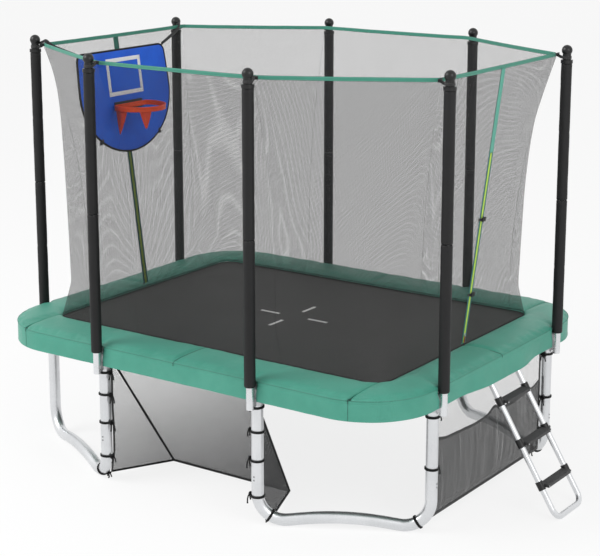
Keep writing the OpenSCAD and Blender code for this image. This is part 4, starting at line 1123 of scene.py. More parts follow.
def webbing(name, width, base, light, edge, rib=0.0016):
    """Ribbed webbing with a darker selvedge and a row of stitches inside each edge."""
    made, shader, place = new_material(name, 0.66, Sheen_Weight=0.15, Sheen_Roughness=0.5)
    weave = weave_of(made)
    u, v = weave.axis("X"), weave.axis("Y")
    to_edge = width / 2 - (u - width / 2).size()
    ribs, cords = v.ribs(rib), u.ribs(rib * 1.4)
    selvedge = to_edge < width * 0.085
    stitch_pitch, stitch_long, stitch_half = 0.006, 0.62, 0.0005
    stitched = v.math("FRACT", v * (1 / stitch_pitch)) < stitch_long
    dash = stitched * ((to_edge - width * 0.16).size() < stitch_half)
    worn = place.noise(23.0, 4.0)
    ground = (ribs * 0.3 + cords * 0.2 + worn * 0.5).mix(base, light)
    ground = selvedge.mix(ground, edge)
    drive(shader, "Base Color", dash.mix(ground, [min(255, level + 70) for level in light]))
    drive(shader, "Roughness", worn * 0.2 + ribs * 0.1 + 0.5)
    raise_by(shader, ribs * 0.5 + cords * 0.3 + dash * 0.6, 0.0005)
    return made


def along_edges(corners, rounding, step):
    """A closed path through corners, which are rounded, with evenly spread points and outward directions."""
    path = []
    count = len(corners)
    for i, corner in enumerate(corners):
        before, after = Vector(corners[i - 1]), Vector(corners[(i + 1) % count])
        here = Vector(corner)
        first = here + (before - here).normalized() * rounding
        last = here + (after - here).normalized() * rounding
        for k in range(5):
            t = k / 4
            path.append((first * (1 - t) ** 2 + here * (2 * t * (1 - t)) + last * t * t).to_tuple())
        to = after + (here - after).normalized() * rounding
        pieces = max(1, round((to - last).length / step))
        path += [last.lerp(to, k / pieces).to_tuple() for k in range(1, pieces)]
    return path


def octagon(x, y, mark_x, mark_y):
    return [(-mark_x, -y), (mark_x, -y), (x, -mark_y), (x, mark_y), (mark_x, y), (-mark_x, y), (-x, mark_y),
            (-x, -mark_y)]


band_webbing = webbing("green webbing", 0.025, (40, 119, 99), (69, 152, 130), (26, 90, 75))
black_webbing = webbing("black webbing", 0.020, (13, 13, 14), (27, 27, 28), (9, 9, 10))
ring = along_edges(octagon(top_half[0] + 0.0016, top_half[1] + 0.0016, top_mark[0], top_mark[1]), 0.020, 0.03)
path = []
for x, y in ring + ring[:1]:
    off = min(hypot(x - px, y - py) for px, py in pole_spots)
    sag = 0.0020 * sin(min(1, max(0, off - 0.07) / 0.45) * pi / 2)
    path.append((x, y, (band_low + band_high) / 2 - sag + 0.0006 * ripple(5, x * 9, y * 9)))
band_wide, band_thick = 0.0245, 0.0024
band = add_piece("net_band", *strip(path, (0, 0, 1), band_wide, band_thick), band_webbing)
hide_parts("top_band")

neck_loop_r = 0.028
loop_parts = []
for (x, y), (_, _, dx, dy) in zip(pole_spots, leg_spots):
    side = (-dy, dx)
    path = []
    for k in range(25):
        w = pi * (0.14 + 1.72 * k / 24) + pi
        reach, wide = cos(w) * neck_loop_r, sin(w) * neck_loop_r
        path.append((x + dx * reach + side[0] * wide, y + dy * reach + side[1] * wide, 2.6460))
    inner = [(x - dx * 0.040, y - dy * 0.040, 2.6465), (x - dx * 0.0625, y - dy * 0.0625, 2.6560)]
    starts = [[(px + side[0] * apart, py + side[1] * apart, z) for px, py, z in inner]
              for apart in (0.0035, -0.0035)]
    whole = list(reversed(starts[0])) + path + starts[1]
    if dist(whole[1], whole[2]) > dist(whole[1], whole[-3]):
        whole = list(reversed(starts[1])) + path + starts[0]
    loop_parts.append(strip(whole, (0, 0, 1), 0.0165, 0.0022))
    patch = [(x - dx * 0.0635 + side[0] * t, y - dy * 0.0635 + side[1] * t, 2.6608)
             for t in (-0.024, 0, 0.024)]
    loop_parts.append(strip(patch, (0, 0, 1), 0.021, 0.0018))
loops = add_piece("neck_loops", *gather(loop_parts), black_webbing)
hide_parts("net_loops")


# ---- Doors ---------------------------------------------------------------------------------------
# A tape is sewn down the middle of both short sides: green webbing above and a lime zipper between teal tapes
# below. A metal slider with a red pull runs on each zipper.
net_tilt = atan2(top_half[0] - waist_half[0], net_top - net_waist)
zip_low, zip_high, zip_end = 0.932, 2.651, 2.145


def on_net(z_base, out, y, up, side=1):
    """A place on the door line: out from the net, across it, and up along it from a height."""
    x = top_half[0] - (net_top - z_base) * tan(net_tilt)
    return Vector((side * (x + out * cos(net_tilt) + up * sin(net_tilt)), y,
                   z_base - out * sin(net_tilt) + up * cos(net_tilt)))


tape_width = 0.050
tape_length = (zip_high - zip_low) / cos(net_tilt)
zip_length = (zip_end - zip_low) / cos(net_tilt)
door_tape, shader, place = new_material("door tape", 0.6, Sheen_Weight=0.12, Sheen_Roughness=0.5)
weave = weave_of(door_tape)
u, v = weave.axis("X"), weave.axis("Y")
to_middle = (u - tape_width / 2).size()
herring_step, herring_slant, herring_pitch = 0.004, 0.002, 0.0016
turns = v * (1 / herring_step)
ribs = (u + turns.math("PINGPONG", turns, 1.0) * herring_slant).ribs(herring_pitch)
worn = place.noise(19.0, 4.0)
upper = (ribs * 0.3 + worn * 0.7).mix((70, 158, 137), (98, 188, 166))
upper = (u < 0.0055).mix(upper, (18, 84, 78))
upper = (u > tape_width - 0.0025).mix(upper, (34, 104, 96))
teal = (ribs * 0.4 + worn * 0.6).mix((26, 116, 104), (44, 146, 132))
teal_half, coil_half, lime_half = 0.0205, 0.0120, 0.0100
lower = (to_middle > teal_half).mix(teal, (20, 74, 92))
lower = (to_middle < coil_half).mix(lower, (34, 84, 48))
lower = (to_middle < lime_half).mix(lower, (186, 222, 66))
drive(shader, "Base Color", (v > zip_length).mix(lower, upper))
drive(shader, "Roughness", worn * 0.2 + 0.5)
raise_by(shader, ribs, 0.0005)

lime, shader, place = new_material("lime zipper teeth", 0.34)
tone = place.noise(60.0, 3.0)
drive(shader, "Base Color", tone.mix((204, 234, 84), (232, 250, 130)))
drive(shader, "Roughness", tone * 0.2 + 0.24)
raise_by(shader, place.noise(900.0, 2.0), 0.0002)


def slab(corners_low, corners_high):
    """A closed block between two rings of points."""
    n = len(corners_low)
    faces = [tuple(reversed(range(n))), tuple(range(n, 2 * n))]
    faces += [(i, (i + 1) % n, n + (i + 1) % n, n + i) for i in range(n)]
    return list(corners_low) + list(corners_high), faces


def tooth(up, way, side):
    """One moulded tooth: wide at its foot on the tape, with a rounded head across the middle."""
    outline = [(-0.0044, -0.0008), (-0.0006, -0.0010), (0.0008, -0.0006), (0.0012, 0.0), (0.0008, 0.0006),
               (-0.0006, 0.0010), (-0.0044, 0.0008)]
    rings = [[on_net(zip_low, out, way * y * scale, up + z * scale, side) for y, z in outline]
             for out, scale in ((0.0108, 1.0), (0.0129, 0.88))]
    return slab(*rings)


tooth_pitch, cord_out, cord_r = 0.0026, 0.0110, 0.0008
for label, side in (("right", 1), ("left", -1)):
    spots = [on_net(zip_low, 0.0102, 0, tape_length * i / 70, side) for i in range(71)]
    for i, spot in enumerate(spots):
        spot.y += 0.0012 * ripple(71, i * 0.22)
    tape = add_piece("door_tape_" + label, *strip(spots, (0, side, 0), tape_width, 0.0017), door_tape)
    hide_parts("door_zippers")
    count = int((zip_length - 0.012) / tooth_pitch)
    rows = [tooth(0.006 + i * tooth_pitch, 1 if i % 2 else -1, side) for i in range(count)]
    teeth = add_piece("zipper_teeth_" + label, *gather(rows), lime, smooth=False)
    cords = [tube([on_net(zip_low, 0.0112, y, zip_length * i / 60, side) for i in range(61)], cord_r, 6)
             for y in (-cord_out, cord_out)]
    bars = []
    for up in (0.004, zip_length):
        across = [on_net(zip_low, 0.0117, t * tape_width, up, side) for t in (-0.5, 0, 0.5)]
        bars.append(strip(across, (0, 0, 1), 0.006, 0.0012))
    trim = add_piece("zipper_cords_" + label, *gather(cords), seam_fold)
    stays = add_piece("zipper_stays_" + label, *gather(bars), band_webbing)


# ---- Zip sliders ---------------------------------------------------------------------------------
# Cast zinc sliders: two plates joined by a diamond at the top, a bridge, and a ribbon pull in red webbing on
# a small wire ring.
slider_zinc = galvanized("cast zinc slider", 0.95, 0.24)
pull_red, shader, place = new_material("red ribbon pull", 0.5)
ribs = place.axis("Z").ribs(0.0014)
drive(shader, "Base Color", (ribs * 0.4 + place.noise(80.0) * 0.6).mix((150, 20, 18), (206, 40, 34)))
drive(shader, "Roughness", ribs * 0.2 + 0.4)
raise_by(shader, ribs, 0.0004)


def plate(outline, low, high, place_at, round_by=0.0006):
    """A plate with softened edges from a flat outline of y and z, between two depths."""
    middle_y = sum(p[0] for p in outline) / len(outline)
    middle_z = sum(p[1] for p in outline) / len(outline)
    points = []
    for depth, inset in ((low, 1), (low + round_by, 0), (high - round_by, 0), (high, 1)):
        for y, z in outline:
            away = hypot(y - middle_y, z - middle_z)
            scale = 1 - inset * round_by / max(away, 1e-6)
            points.append(place_at(depth, middle_y + (y - middle_y) * scale,
                                   middle_z + (z - middle_z) * scale))
    n = len(outline)
    faces = grid_faces(4, n, True) + [tuple(reversed(range(n))), tuple(range(3 * n, 4 * n))]
    return points, faces


def rounded_box(low_y, low_z, high_y, high_z, corner, steps=4):
    """The outline of a rectangle with rounded corners."""
    outline = []
    for cy, cz, begin in ((high_y - corner, high_z - corner, 0), (low_y + corner, high_z - corner, 90),
                          (low_y + corner, low_z + corner, 180), (high_y - corner, low_z + corner, 270)):
        for k in range(steps + 1):
            w = radians(begin + 90 * k / steps)
            outline.append((cy + corner * cos(w), cz + corner * sin(w)))
    return outline


def without_weave(part):
    """A part whose points keep only their place."""
    return [point[:3] for point in part[0]], part[1]


slider_z = 0.978
for label, side in (("right", 1), ("left", -1)):
    def at(depth, y, z, side=side):
        return on_net(slider_z, depth, y, z, side)
    shield = [(-0.0066, 0.0225), (-0.0045, 0.0238), (0.0045, 0.0238), (0.0066, 0.0225), (0.0068, 0.0150),
              (0.0052, 0.0060), (0.0046, 0.0008), (-0.0046, 0.0008), (-0.0052, 0.0060), (-0.0068, 0.0150)]
    parts = [plate(shield, 0.0131, 0.0149, at)]
    rims = [[(s * 0.0066, 0.0210), (s * 0.0054, 0.0222), (s * 0.0056, 0.0150), (s * 0.0040, 0.0060),
             (s * 0.0038, 0.0015), (s * 0.0046, 0.0010), (s * 0.0052, 0.0060), (s * 0.0068, 0.0150)]
            for s in (-1, 1)]
    parts += [plate(rim, 0.0116, 0.0133, at, 0.0003) for rim in rims]
    bridge = [at(0.0146 + 0.0036 * sin(pi * k / 8) ** 0.6, 0, 0.0040 + 0.0150 * k / 8) for k in range(9)]
    parts.append(without_weave(strip(bridge, (0, 1, 0), 0.0034, 0.0014)))
    ring = [at(0.0164, 0.0030 * sin(w), 0.0050 + 0.0044 * cos(w))
            for w in (2 * pi * k / 16 for k in range(16))]
    parts.append(tube(ring, 0.0006, 6, True))
    body = add_piece("slider_body_" + label, *gather(parts), slider_zinc, "zip_slider_" + label)
    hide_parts("zip_slider_" + label)
    ribbon = [at(0.0158 + 0.0007 * sin(k * 0.9), 0.0008 * sin(k * 0.5), 0.0020 - 0.0415 * k / 10)
              for k in range(11)]
    points, faces = strip(ribbon, (0, 1, 0), 0.0094, 0.0016)
    made = add_piece("slider_pull_" + label, points, faces, pull_red, "zip_slider_" + label)


# ---- Door buckles --------------------------------------------------------------------------------
# Two side release buckles hold the right door shut. A moulded socket is sewn beside the zipper on one side,
# and a tongue with two springy prongs clicks into it from the other.
buckle_low, buckle_high, buckle_wall = 0.0202, 0.0288, 0.0019
for label, height in (("lower", 1.255), ("upper", 1.733)):
    def at(depth, y, z, height=height):
        return on_net(height, depth, y, z)
    face = rounded_box(0.0005, -0.0128, 0.0275, 0.0128, 0.0045)
    parts = [plate(face, buckle_low, buckle_low + buckle_wall, at),
             plate(face, buckle_high - buckle_wall, buckle_high, at)]
    for s in (-1, 1):
        for a, b in ((0.0010, 0.0060), (0.0190, 0.0270)):
            low_z, high_z = sorted((s * 0.0102, s * 0.0127))
            parts.append(plate(rounded_box(a, low_z, b, high_z, 0.0009), buckle_low + 0.0016,
                               buckle_high - 0.0016, at, 0.0002))
    parts.append(plate(rounded_box(0.0235, -0.0105, 0.0272, 0.0105, 0.001), buckle_low + 0.0016,
                       buckle_high - 0.0016, at, 0.0002))
    parts.append(plate(rounded_box(0.0200, -0.0095, 0.0255, 0.0095, 0.002), 0.0146, buckle_low + 0.0004, at))
    parts.append(plate(rounded_box(0.0075, -0.0040, 0.0185, 0.0040, 0.0038), buckle_high - 0.0004,
                       buckle_high + 0.0004, at, 0.0002))
    socket = add_piece("buckle_socket_" + label, *gather(parts), cap_plastic)
    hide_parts("buckle_sockets")
    body = "buckle_tongue_" + label
    parts = [plate(rounded_box(-0.0160, -0.0128, -0.0108, 0.0128, 0.0022), buckle_low, buckle_high, at),
             plate(rounded_box(-0.0062, -0.0128, -0.0006, 0.0128, 0.0022), buckle_low, buckle_high, at)]
    for s in (-1, 1):
        low_z, high_z = sorted((s * 0.0128, s * 0.0094))
        parts.append(plate(rounded_box(-0.0125, low_z, -0.0045, high_z, 0.0012), buckle_low + 0.0008,
                           buckle_high - 0.0008, at, 0.0003))
        prong = [(-0.0010, s * 0.0058), (0.0070, s * 0.0058), (0.0150, s * 0.0070), (0.0186, s * 0.0088),
                 (0.0178, s * 0.0096), (0.0120, s * 0.0097), (0.0080, s * 0.0088), (-0.0010, s * 0.0082)]
        parts.append(plate(prong[::s], buckle_low + 0.0026, buckle_high - 0.0026, at, 0.0003))
    parts.append(plate(rounded_box(-0.0010, -0.0015, 0.0160, 0.0015, 0.001), buckle_low + 0.0028,
                       buckle_high - 0.0028, at, 0.0003))
    tongue = add_piece("buckle_prongs_" + label, *gather(parts), cap_plastic, body)
    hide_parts(body)
    tab = [at(0.0245, -0.0125, 0), at(0.0230, -0.0152, 0), at(0.0200, -0.0176, 0), at(0.0160, -0.0200, 0),
           at(0.0130, -0.0260, 0), at(0.0122, -0.0330, 0), at(0.0122, -0.0400, 0)]
    made = add_piece("buckle_tab_" + label, *strip(tab, (0.1, 0, 1), 0.0175, 0.0016), black_webbing, body)
    tab = [at(0.0170, 0.0240, 0), at(0.0150, 0.0285, 0), at(0.0122, 0.0330, 0), at(0.0122, 0.0420, 0)]
    made = add_piece("socket_tab_" + label, *strip(tab, (0.1, 0, 1), 0.0175, 0.0016), black_webbing)


# ---- Backboard -----------------------------------------------------------------------------------
# A padded board of blue vinyl hangs inside the left short side. Its lower edge is a half oval. Black piping
# binds the edge, a white frame is sewn on for aiming, and straps pull its top corners to the poles.
board_base, board_back, board_front = 1.867, 0.0147, 0.0293
board_width, board_height = 0.900, 0.700
board_waist, board_bulge, board_corner = 0.410, 0.012, 0.055


def on_board(depth, y, z):
    """A place on the board: depth into the room from the net, across, and up from the board's foot."""
    x = top_half[0] - (net_top - board_base) * tan(net_tilt)
    return Vector((-x + depth * cos(net_tilt) - z * sin(net_tilt), y,
                   board_base + depth * sin(net_tilt) + z * cos(net_tilt)))


half_wide, shoulder = board_width / 2 + board_bulge, board_height - board_corner
oval = [-pi * i / 48 for i in range(1, 48)]
board_edge = [(half_wide * cos(w), board_waist + board_waist * sin(w)) for w in oval]
side_edge = [(half_wide, board_waist + 0.0005)]
side_edge += [(half_wide - board_bulge * (i / 12) ** 1.5, board_waist + (shoulder - board_waist) * i / 12)
              for i in range(1, 12)]
board_edge += [(-y, z) for y, z in side_edge]
corner_y = board_width / 2 - board_corner
for begin, sign in ((180, -1), (90, 1)):
    for i in range(8):
        w = radians(begin - 90 * i / 7)
        board_edge.append((sign * corner_y + board_corner * cos(w), shoulder + board_corner * sin(w)))
    if sign < 0:
        board_edge += [(-corner_y + 2 * corner_y * i / 30, board_height) for i in range(1, 30)]
board_edge += reversed(side_edge)
centre_y, centre_z = 0.0, 0.37

vinyl, shader, place = new_material("blue vinyl", 0.36, Specular_IOR_Level=0.3)
grain = place.noise(520.0, 4.0, 0.7)
soft = place.noise(3.2, 4.0)
drive(shader, "Base Color", (soft * 0.7 + grain * 0.3).smooth(0.25, 0.75).mix((24, 84, 205), (36, 112, 240)))
drive(shader, "Roughness", grain * 0.2 + soft * 0.1 + 0.24)
raise_by(shader, grain * 0.6 + place.noise(34.0, 3.0) * 0.4, 0.0006)

rings = [0.0, 0.004, 0.012, 0.03, 0.07, 0.14, 0.26, 0.42, 0.6, 0.8]
middle_depth, half_crown = (board_back + board_front) / 2, 0.0074
points, n = [], len(board_edge)
for face in (1, -1):
    for share in rings:
        for i, (y, z) in enumerate(board_edge):
            py, pz = y + (centre_y - y) * share, z + (centre_z - z) * share
            puff = 1 - exp(-share / 0.022)
            wrinkle = 0.0006 * ripple(81 + face, i * 0.5, share * 9) * exp(-share / 0.12) * (share > 0)
            wrinkle += 0.0005 * ripple(90 + face, py * 6, pz * 6)
            half = 0.0022 + (0.0052 + wrinkle) * puff
            points.append(on_board(middle_depth + face * half, py, pz))
faces = []
for base, face in ((0, 1), (len(rings) * n, -1)):
    faces += grid_faces(len(rings), n, True, base)
    points.append(on_board(middle_depth + face * half_crown, centre_y, centre_z))
    last = base + (len(rings) - 1) * n
    faces += [(last + j, last + (j + 1) % n, len(points) - 1) for j in range(n)]
low = len(rings) * n
faces += [(j, (j + 1) % n, low + (j + 1) % n, low + j) for j in range(n)]
board = add_piece("backboard_pad", points, faces, vinyl)
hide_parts("backboard")

piping_black, shader, place = new_material("black piping", 0.5, Specular_IOR_Level=0.3)
twist = (place.axis("X") + place.axis("Y") + place.axis("Z")).ribs(2 * pi / 3000)
drive(shader, "Base Color", (twist * 0.3 + place.noise(30.0) * 0.7).mix((7, 7, 8), (17, 17, 18)))
drive(shader, "Roughness", twist * 0.2 + 0.4)
raise_by(shader, twist, 0.0004)
path = [on_board(middle_depth, y * 0.9985, z) for y, z in board_edge]
piping = add_piece("board_piping", *tube(path, 0.0078, 10, True), piping_black)

white_tape, shader, place = new_material("white vinyl tape", 0.4)
tone = place.noise(40.0, 4.0)
drive(shader, "Base Color", tone.mix((236, 237, 240), (251, 251, 252)))
drive(shader, "Roughness", tone * 0.2 + 0.3)
raise_by(shader, place.noise(500.0, 3.0), 0.0003)
square_half, low_z, high_z, line = 0.177, 0.390, 0.646, 0.027
top_z, foot_z, side_y = high_z - line / 2, low_z + line / 2, square_half - line / 2
lying, upright = tuple(on_board(0, 0, 1) - on_board(0, 0, 0)), (0, 1, 0)
square_parts = []
for first, last, sideways in (((-square_half, top_z), (square_half, top_z), lying),
                              ((-square_half, foot_z), (square_half, foot_z), lying),
                              ((-side_y, low_z + line), (-side_y, high_z - line), upright),
                              ((side_y, low_z + line), (side_y, high_z - line), upright)):
    path = [on_board(middle_depth + 0.0083, *between(first, last, t / 12)) for t in range(13)]
    square_parts.append(without_weave(strip(path, sideways, line, 0.0012)))
square = add_piece("board_square", *gather(square_parts), white_tape)

tab_parts = []
for s in (-1, 1):
    y, z = s * 0.302, 0.098
    path = [on_board(middle_depth + deep, y * out, z + up)
            for deep, out, up in ((0.006, 0.97, 0.016), (0.007, 1, 0), (0.002, 1.03, -0.018),
                                  (-0.006, 1.03, -0.020), (-0.010, 1.01, -0.008), (-0.0115, 0.99, 0))]
    tab_parts.append(strip(path, (0, 1, 0), 0.020, 0.0018))
    ties = [on_board(0.012 - 0.004 * k, y * (1 + 0.012 * sin(k)), z - 0.014 - 0.003 * k) for k in range(5)]
    points, faces = tube(ties, 0.0024, 8)
    tab_parts.append(([(*p, 0.01, 0.0) for p in points], faces))
tabs = add_piece("board_tabs", *gather(tab_parts), black_webbing)

# Straps from the top corners: each is doubled back through a slot, goes up inside the net and over the green
# band, and ends round the neck of its pole's cap.
strap_parts = []
for s in (-1, 1):
    corner = on_board(0.020, s * (board_width / 2 - 0.012), board_height - 0.006)
    for lift in (0.0, 0.013):
        marks = [corner + Vector((0, 0, lift * 0.5)), Vector((-1.4800, s * 0.655, 2.636 + lift)),
                 Vector((-1.4905, s * 0.697, 2.686 + lift * 0.4)),
                 Vector((-1.5330, s * (0.716 - lift * 0.6), 2.668))]
        path = [marks[k // 6].lerp(marks[k // 6 + 1], k / 6 % 1) for k in range(18)] + [marks[3]]
        for _ in range(3):
            path = path[:1] + [(p + q * 2 + r) / 4 for p, q, r in zip(path, path[1:], path[2:])] + path[-1:]
        strap_parts.append(strip(path, (0.25, -s * 0.55, 0.8), 0.0190, 0.0022))
straps = add_piece("board_webbing", *gather(strap_parts), black_webbing)
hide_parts("board_straps")


# ---- Hoop ----------------------------------------------------------------------------------------
# A bracket of black plastic is riveted to the board and carries the hoop: a bent flat band in orange paint
# with a rolled upper rim. Two pointed pennants of orange nylon hang below it.
bracket_plastic, shader, place = new_material("black bracket", 0.42)
grain = place.noise(300.0, 3.0)
drive(shader, "Base Color", place.noise(18.0).mix((18, 18, 19), (40, 40, 41)))
drive(shader, "Roughness", grain * 0.25 + 0.3)
raise_by(shader, grain, 0.0003)
finish_nodes(bracket_plastic, "hoop_bracket")

orange, shader, place = new_material("orange powder coat", 0.32, Specular_IOR_Level=0.35)
peel = place.noise(240.0, 2.0)
tone = place.noise(9.0, 4.0)
drive(shader, "Base Color", tone.mix((240, 62, 16), (254, 92, 32)))
drive(shader, "Roughness", peel * 0.15 + tone * 0.1 + 0.2)
raise_by(shader, peel, 0.0004)

hoop_x, hoop_back, hoop_high, hoop_band = -1.300, -1.383, 2.202, 0.035
hoop_outer, hoop_wall = 0.184, 0.008
reach = acos((hoop_back - hoop_x) / hoop_outer)
middle_r = hoop_outer - hoop_wall / 2
back_y = sqrt(middle_r ** 2 - (hoop_back + hoop_wall / 2 - hoop_x) ** 2)
loop = []
for i in range(61):
    w = -reach * 0.985 + 2 * reach * 0.985 * i / 60
    loop.append((hoop_x + middle_r * cos(w), middle_r * sin(w)))
straight_x = hoop_back + hoop_wall / 2
loop += [(straight_x, back_y * (1 - 2 * i / 16) * 0.97) for i in range(17)]
profile = [(0.0012, 0.000), (0.0026, 0.0006), (0.0030, 0.003), (0.0026, 0.010), (0.0024, 0.020),
           (0.0030, 0.0265), (0.0039, 0.0290), (0.0040, 0.0318), (0.0030, 0.0342), (0.0008, 0.0350),
           (-0.0018, 0.0346), (-0.0034, 0.0326), (-0.0032, 0.0300), (-0.0012, 0.0278), (0.0004, 0.0255),
           (0.0002, 0.012), (0.0004, 0.002)]
points = []
count = len(loop)
for i, (x, y) in enumerate(loop):
    ax, ay = loop[(i + 1) % count]
    bx, by = loop[i - 1]
    length = hypot(ax - bx, ay - by)
    nx, ny = (ay - by) / length, -(ax - bx) / length
    points += [(x + nx * out, y + ny * out, hoop_high - hoop_band + up) for out, up in profile]
faces = grid_faces(count, len(profile), True) + closing_faces(count, len(profile))
hoop = add_piece("hoop_band", points, faces, orange)
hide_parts("hoop_ring")

nylon, shader, place = new_material("orange nylon", 0.55, Sheen_Weight=0.2, Sheen_Roughness=0.4)
nylon_pitch = 0.0013
weft = place.axis("Z").ribs(nylon_pitch)
warp = (place.axis("X") + place.axis("Y")).ribs(nylon_pitch)
tone = place.noise(14.0, 4.0)
drive(shader, "Base Color", (tone * 0.7 + weft * warp * 0.3).mix((234, 56, 14), (252, 88, 28)))
drive(shader, "Roughness", weft * 0.15 + tone * 0.1 + 0.42)
raise_by(shader, weft * warp, 0.0003)


pennant_r, pennant_rows, pennant_columns = 0.1668, 15, 13


def pennant(turn, deep, wide, seed):
    """One pointed flap as a thin sheet that follows the hoop's curve and hangs to a point."""
    points = []
    for layer in (0, 1):
        for i in range(pennant_rows):
            down = i / (pennant_rows - 1)
            half = wide / 2 * (1 - down) ** 0.92 + 0.0035
            lip = 0.00048 if i == 0 else 0.0
            for j in range(pennant_columns):
                t = -1 + 2 * j / (pennant_columns - 1)
                w = radians(turn) + t * half / 0.166
                fold = 0.0042 * sin(t * 4.2 + seed) * sin(pi * min(1, down * 1.1)) + 0.006 * down ** 2
                radius = pennant_r + fold - 0.0011 * layer + lip
                z = hoop_high - hoop_band + 0.0035 - (deep + 0.0030) * down - 0.004 * abs(t) * down
                points.append((hoop_x + radius * cos(w), radius * sin(w), z))
    return points, thin_sheet_faces(pennant_rows, pennant_columns)


for label, turn, deep, wide, seed in (("long", -100, 0.157, 0.116, 1.0), ("short", -34, 0.113, 0.080, 2.4)):
    made = add_piece("pennant_" + label, *pennant(turn, deep, wide, seed), nylon)
    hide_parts("hoop_net")
binding_r = 0.1705
bindings = []
for turn, wide in ((-100, 0.110), (-34, 0.076)):
    arc = [radians(turn) + (k / 10 - 0.5) * wide / 0.169 for k in range(11)]
    path = [(hoop_x + binding_r * cos(w), binding_r * sin(w), hoop_high - hoop_band + 0.0025) for w in arc]
    bindings.append(without_weave(strip(path, (0, 0, 1), 0.012, 0.0022)))
made = add_piece("pennant_binding", *gather(bindings), nylon)


# ---- Ladder --------------------------------------------------------------------------------------
# One galvanized tube is bent into two rails with a foot bar between them and hooks over the frame rail. Three
# dark steps with square plastic ends are bolted on.
ladder_zinc = galvanized("galvanized ladder tube", 1.0, 0.28)
finish_nodes(ladder_zinc, "ladder_rails")
tread, shader, place = new_material("dark step", 0.48)
ribs = place.axis("X").ribs(0.005)
worn = place.noise(16.0, 5.0)
drive(shader, "Base Color", (worn * 0.7 + ribs * 0.3).mix((44, 44, 45), (64, 64, 65)))
drive(shader, "Roughness", worn * 0.3 + ribs * 0.1 + 0.4)
raise_by(shader, ribs * 0.8 + place.noise(300.0) * 0.2, 0.0009)
finish_nodes(tread, "ladder_steps")
finish_nodes(cap_plastic, "step_ends")


def bolt_head(spot, radius, high):
    """A domed bolt head that faces forward, along X."""
    points, faces = [], []
    for out, wide in ((0.0, 1.0), (0.35, 1.0), (0.78, 0.78), (0.96, 0.42)):
        points += [(spot[0] + high * out, spot[1] + radius * wide * cos(w * pi / 8),
                    spot[2] + radius * wide * sin(w * pi / 8)) for w in range(16)]
    points += [(spot[0] + high, spot[1], spot[2]), spot]
    for ring in range(3):
        faces += [(ring * 16 + w, ring * 16 + (w + 1) % 16, ring * 16 + 16 + (w + 1) % 16, ring * 16 + 16 + w)
                  for w in range(16)]
    faces += [(48 + w, 48 + (w + 1) % 16, 64) for w in range(16)]
    faces += [((w + 1) % 16, w, 65) for w in range(16)]
    return points, faces


step_heights, bolt_y, bolt_r, bolt_high = (0.201, 0.436, 0.671), 0.1425, 0.0046, 0.0030
bolts = []
for step_z in step_heights:
    front = max(v.co.x for v in node["ladder_steps"].data.vertices if abs(v.co.z - step_z) < 0.012)
    for s in (-1, 1):
        bolts.append(bolt_head((front + 0.0002, s * bolt_y, step_z - 0.002), bolt_r, bolt_high))
made = add_piece("step_bolts", *gather(bolts), plated, "ladder")


# ---- Storage net ---------------------------------------------------------------------------------
# Two layers of mesh hang between the legs by the ladder: a sheer backing up to the frame, and a dense pouch
# in front of it for shoes. Black binding finishes the scalloped mouth, the foot and the sides.
bag_plane, bag_half, bag_foot, bag_high = 1.4672, 0.6835, 0.072, 0.788
sheer_mesh = knitted_mesh("sheer storage mesh", 0.0062, 0.13, (66, 66, 67), (96, 96, 97), 0.04)
# The pouch's mesh takes its streaky bands at 0.75: real streaks in the knit and painted sheen.
dense_mesh = knitted_mesh("dense storage mesh", 0.0046, 0.52, (20, 20, 21), (40, 40, 41), 0.32, 0.75)
mouth_high = 0.557
# Shares of the half width, and the mouth's height there over its ends in millimetres.
mouth_marks = [(-1, 0), (-0.8, -20), (-0.55, -24), (-0.3, -30), (-0.14, -22), (0, 14), (0.14, -22),
               (0.3, -30), (0.55, -24), (0.8, -20), (1, 0)]


def mouth_height(u):
    """Height of the pouch's bound edge at a share of the half width."""
    for (u0, z0), (u1, z1) in zip(mouth_marks, mouth_marks[1:]):
        if u <= u1 + 1e-9:
            t = (u - u0) / (u1 - u0)
            return mouth_high + (z0 + (z1 - z0) * t * t * (3 - 2 * t)) / 1000
    return mouth_high


def pouch_spot(u, v, out=0.0):
    """A place on the pouch: across from -1 to 1, and up from 0 at its foot to 1 at its mouth."""
    z = bag_foot + 0.002 + v * (mouth_height(u) - bag_foot - 0.004)
    full = max(0, 1 - u * u) ** 0.6
    x = bag_plane + 0.044 * full * sin(pi * (0.08 + 0.66 * v)) ** 0.8 * min(1, v / 0.12)
    x += 0.0035 * ripple(101, u * 9, v * 1.4) * full * min(1, v * 4)
    x += 0.0022 * ripple(102, u * 26, v * 2.0) * full * v
    return x + out, u * bag_half * (1 - 0.006 * sin(pi * v)), z


def cloth_grid(spot, across, up, size):
    """A cloth surface over shares of its width and height, with the weave's u and v in metres."""
    points = []
    for i in range(across + 1):
        for j in range(up + 1):
            points.append((*spot(i / across, j / up), size[0] * i / across, size[1] * j / up))
    return points, grid_faces(across + 1, up + 1)


def backing_spot(s, t):
    """A place on the backing, which lies close behind the pouch and is nearly flat."""
    x = bag_plane - 0.0012 - 0.0012 * (1 + ripple(103, s * 5, t * 2)) * sin(pi * s)
    return x, (2 * s - 1) * bag_half, bag_foot + 0.002 + t * (bag_high - bag_foot - 0.002)


backing = add_piece("storage_back", *cloth_grid(backing_spot, 48, 24, (1.367, 0.716)), sheer_mesh)
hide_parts("storage_backing")
pouch = add_piece("storage_pouch", *cloth_grid(lambda s, t: pouch_spot(2 * s - 1, t), 84, 22, (1.40, 0.52)),
                  dense_mesh)
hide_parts("storage_net")

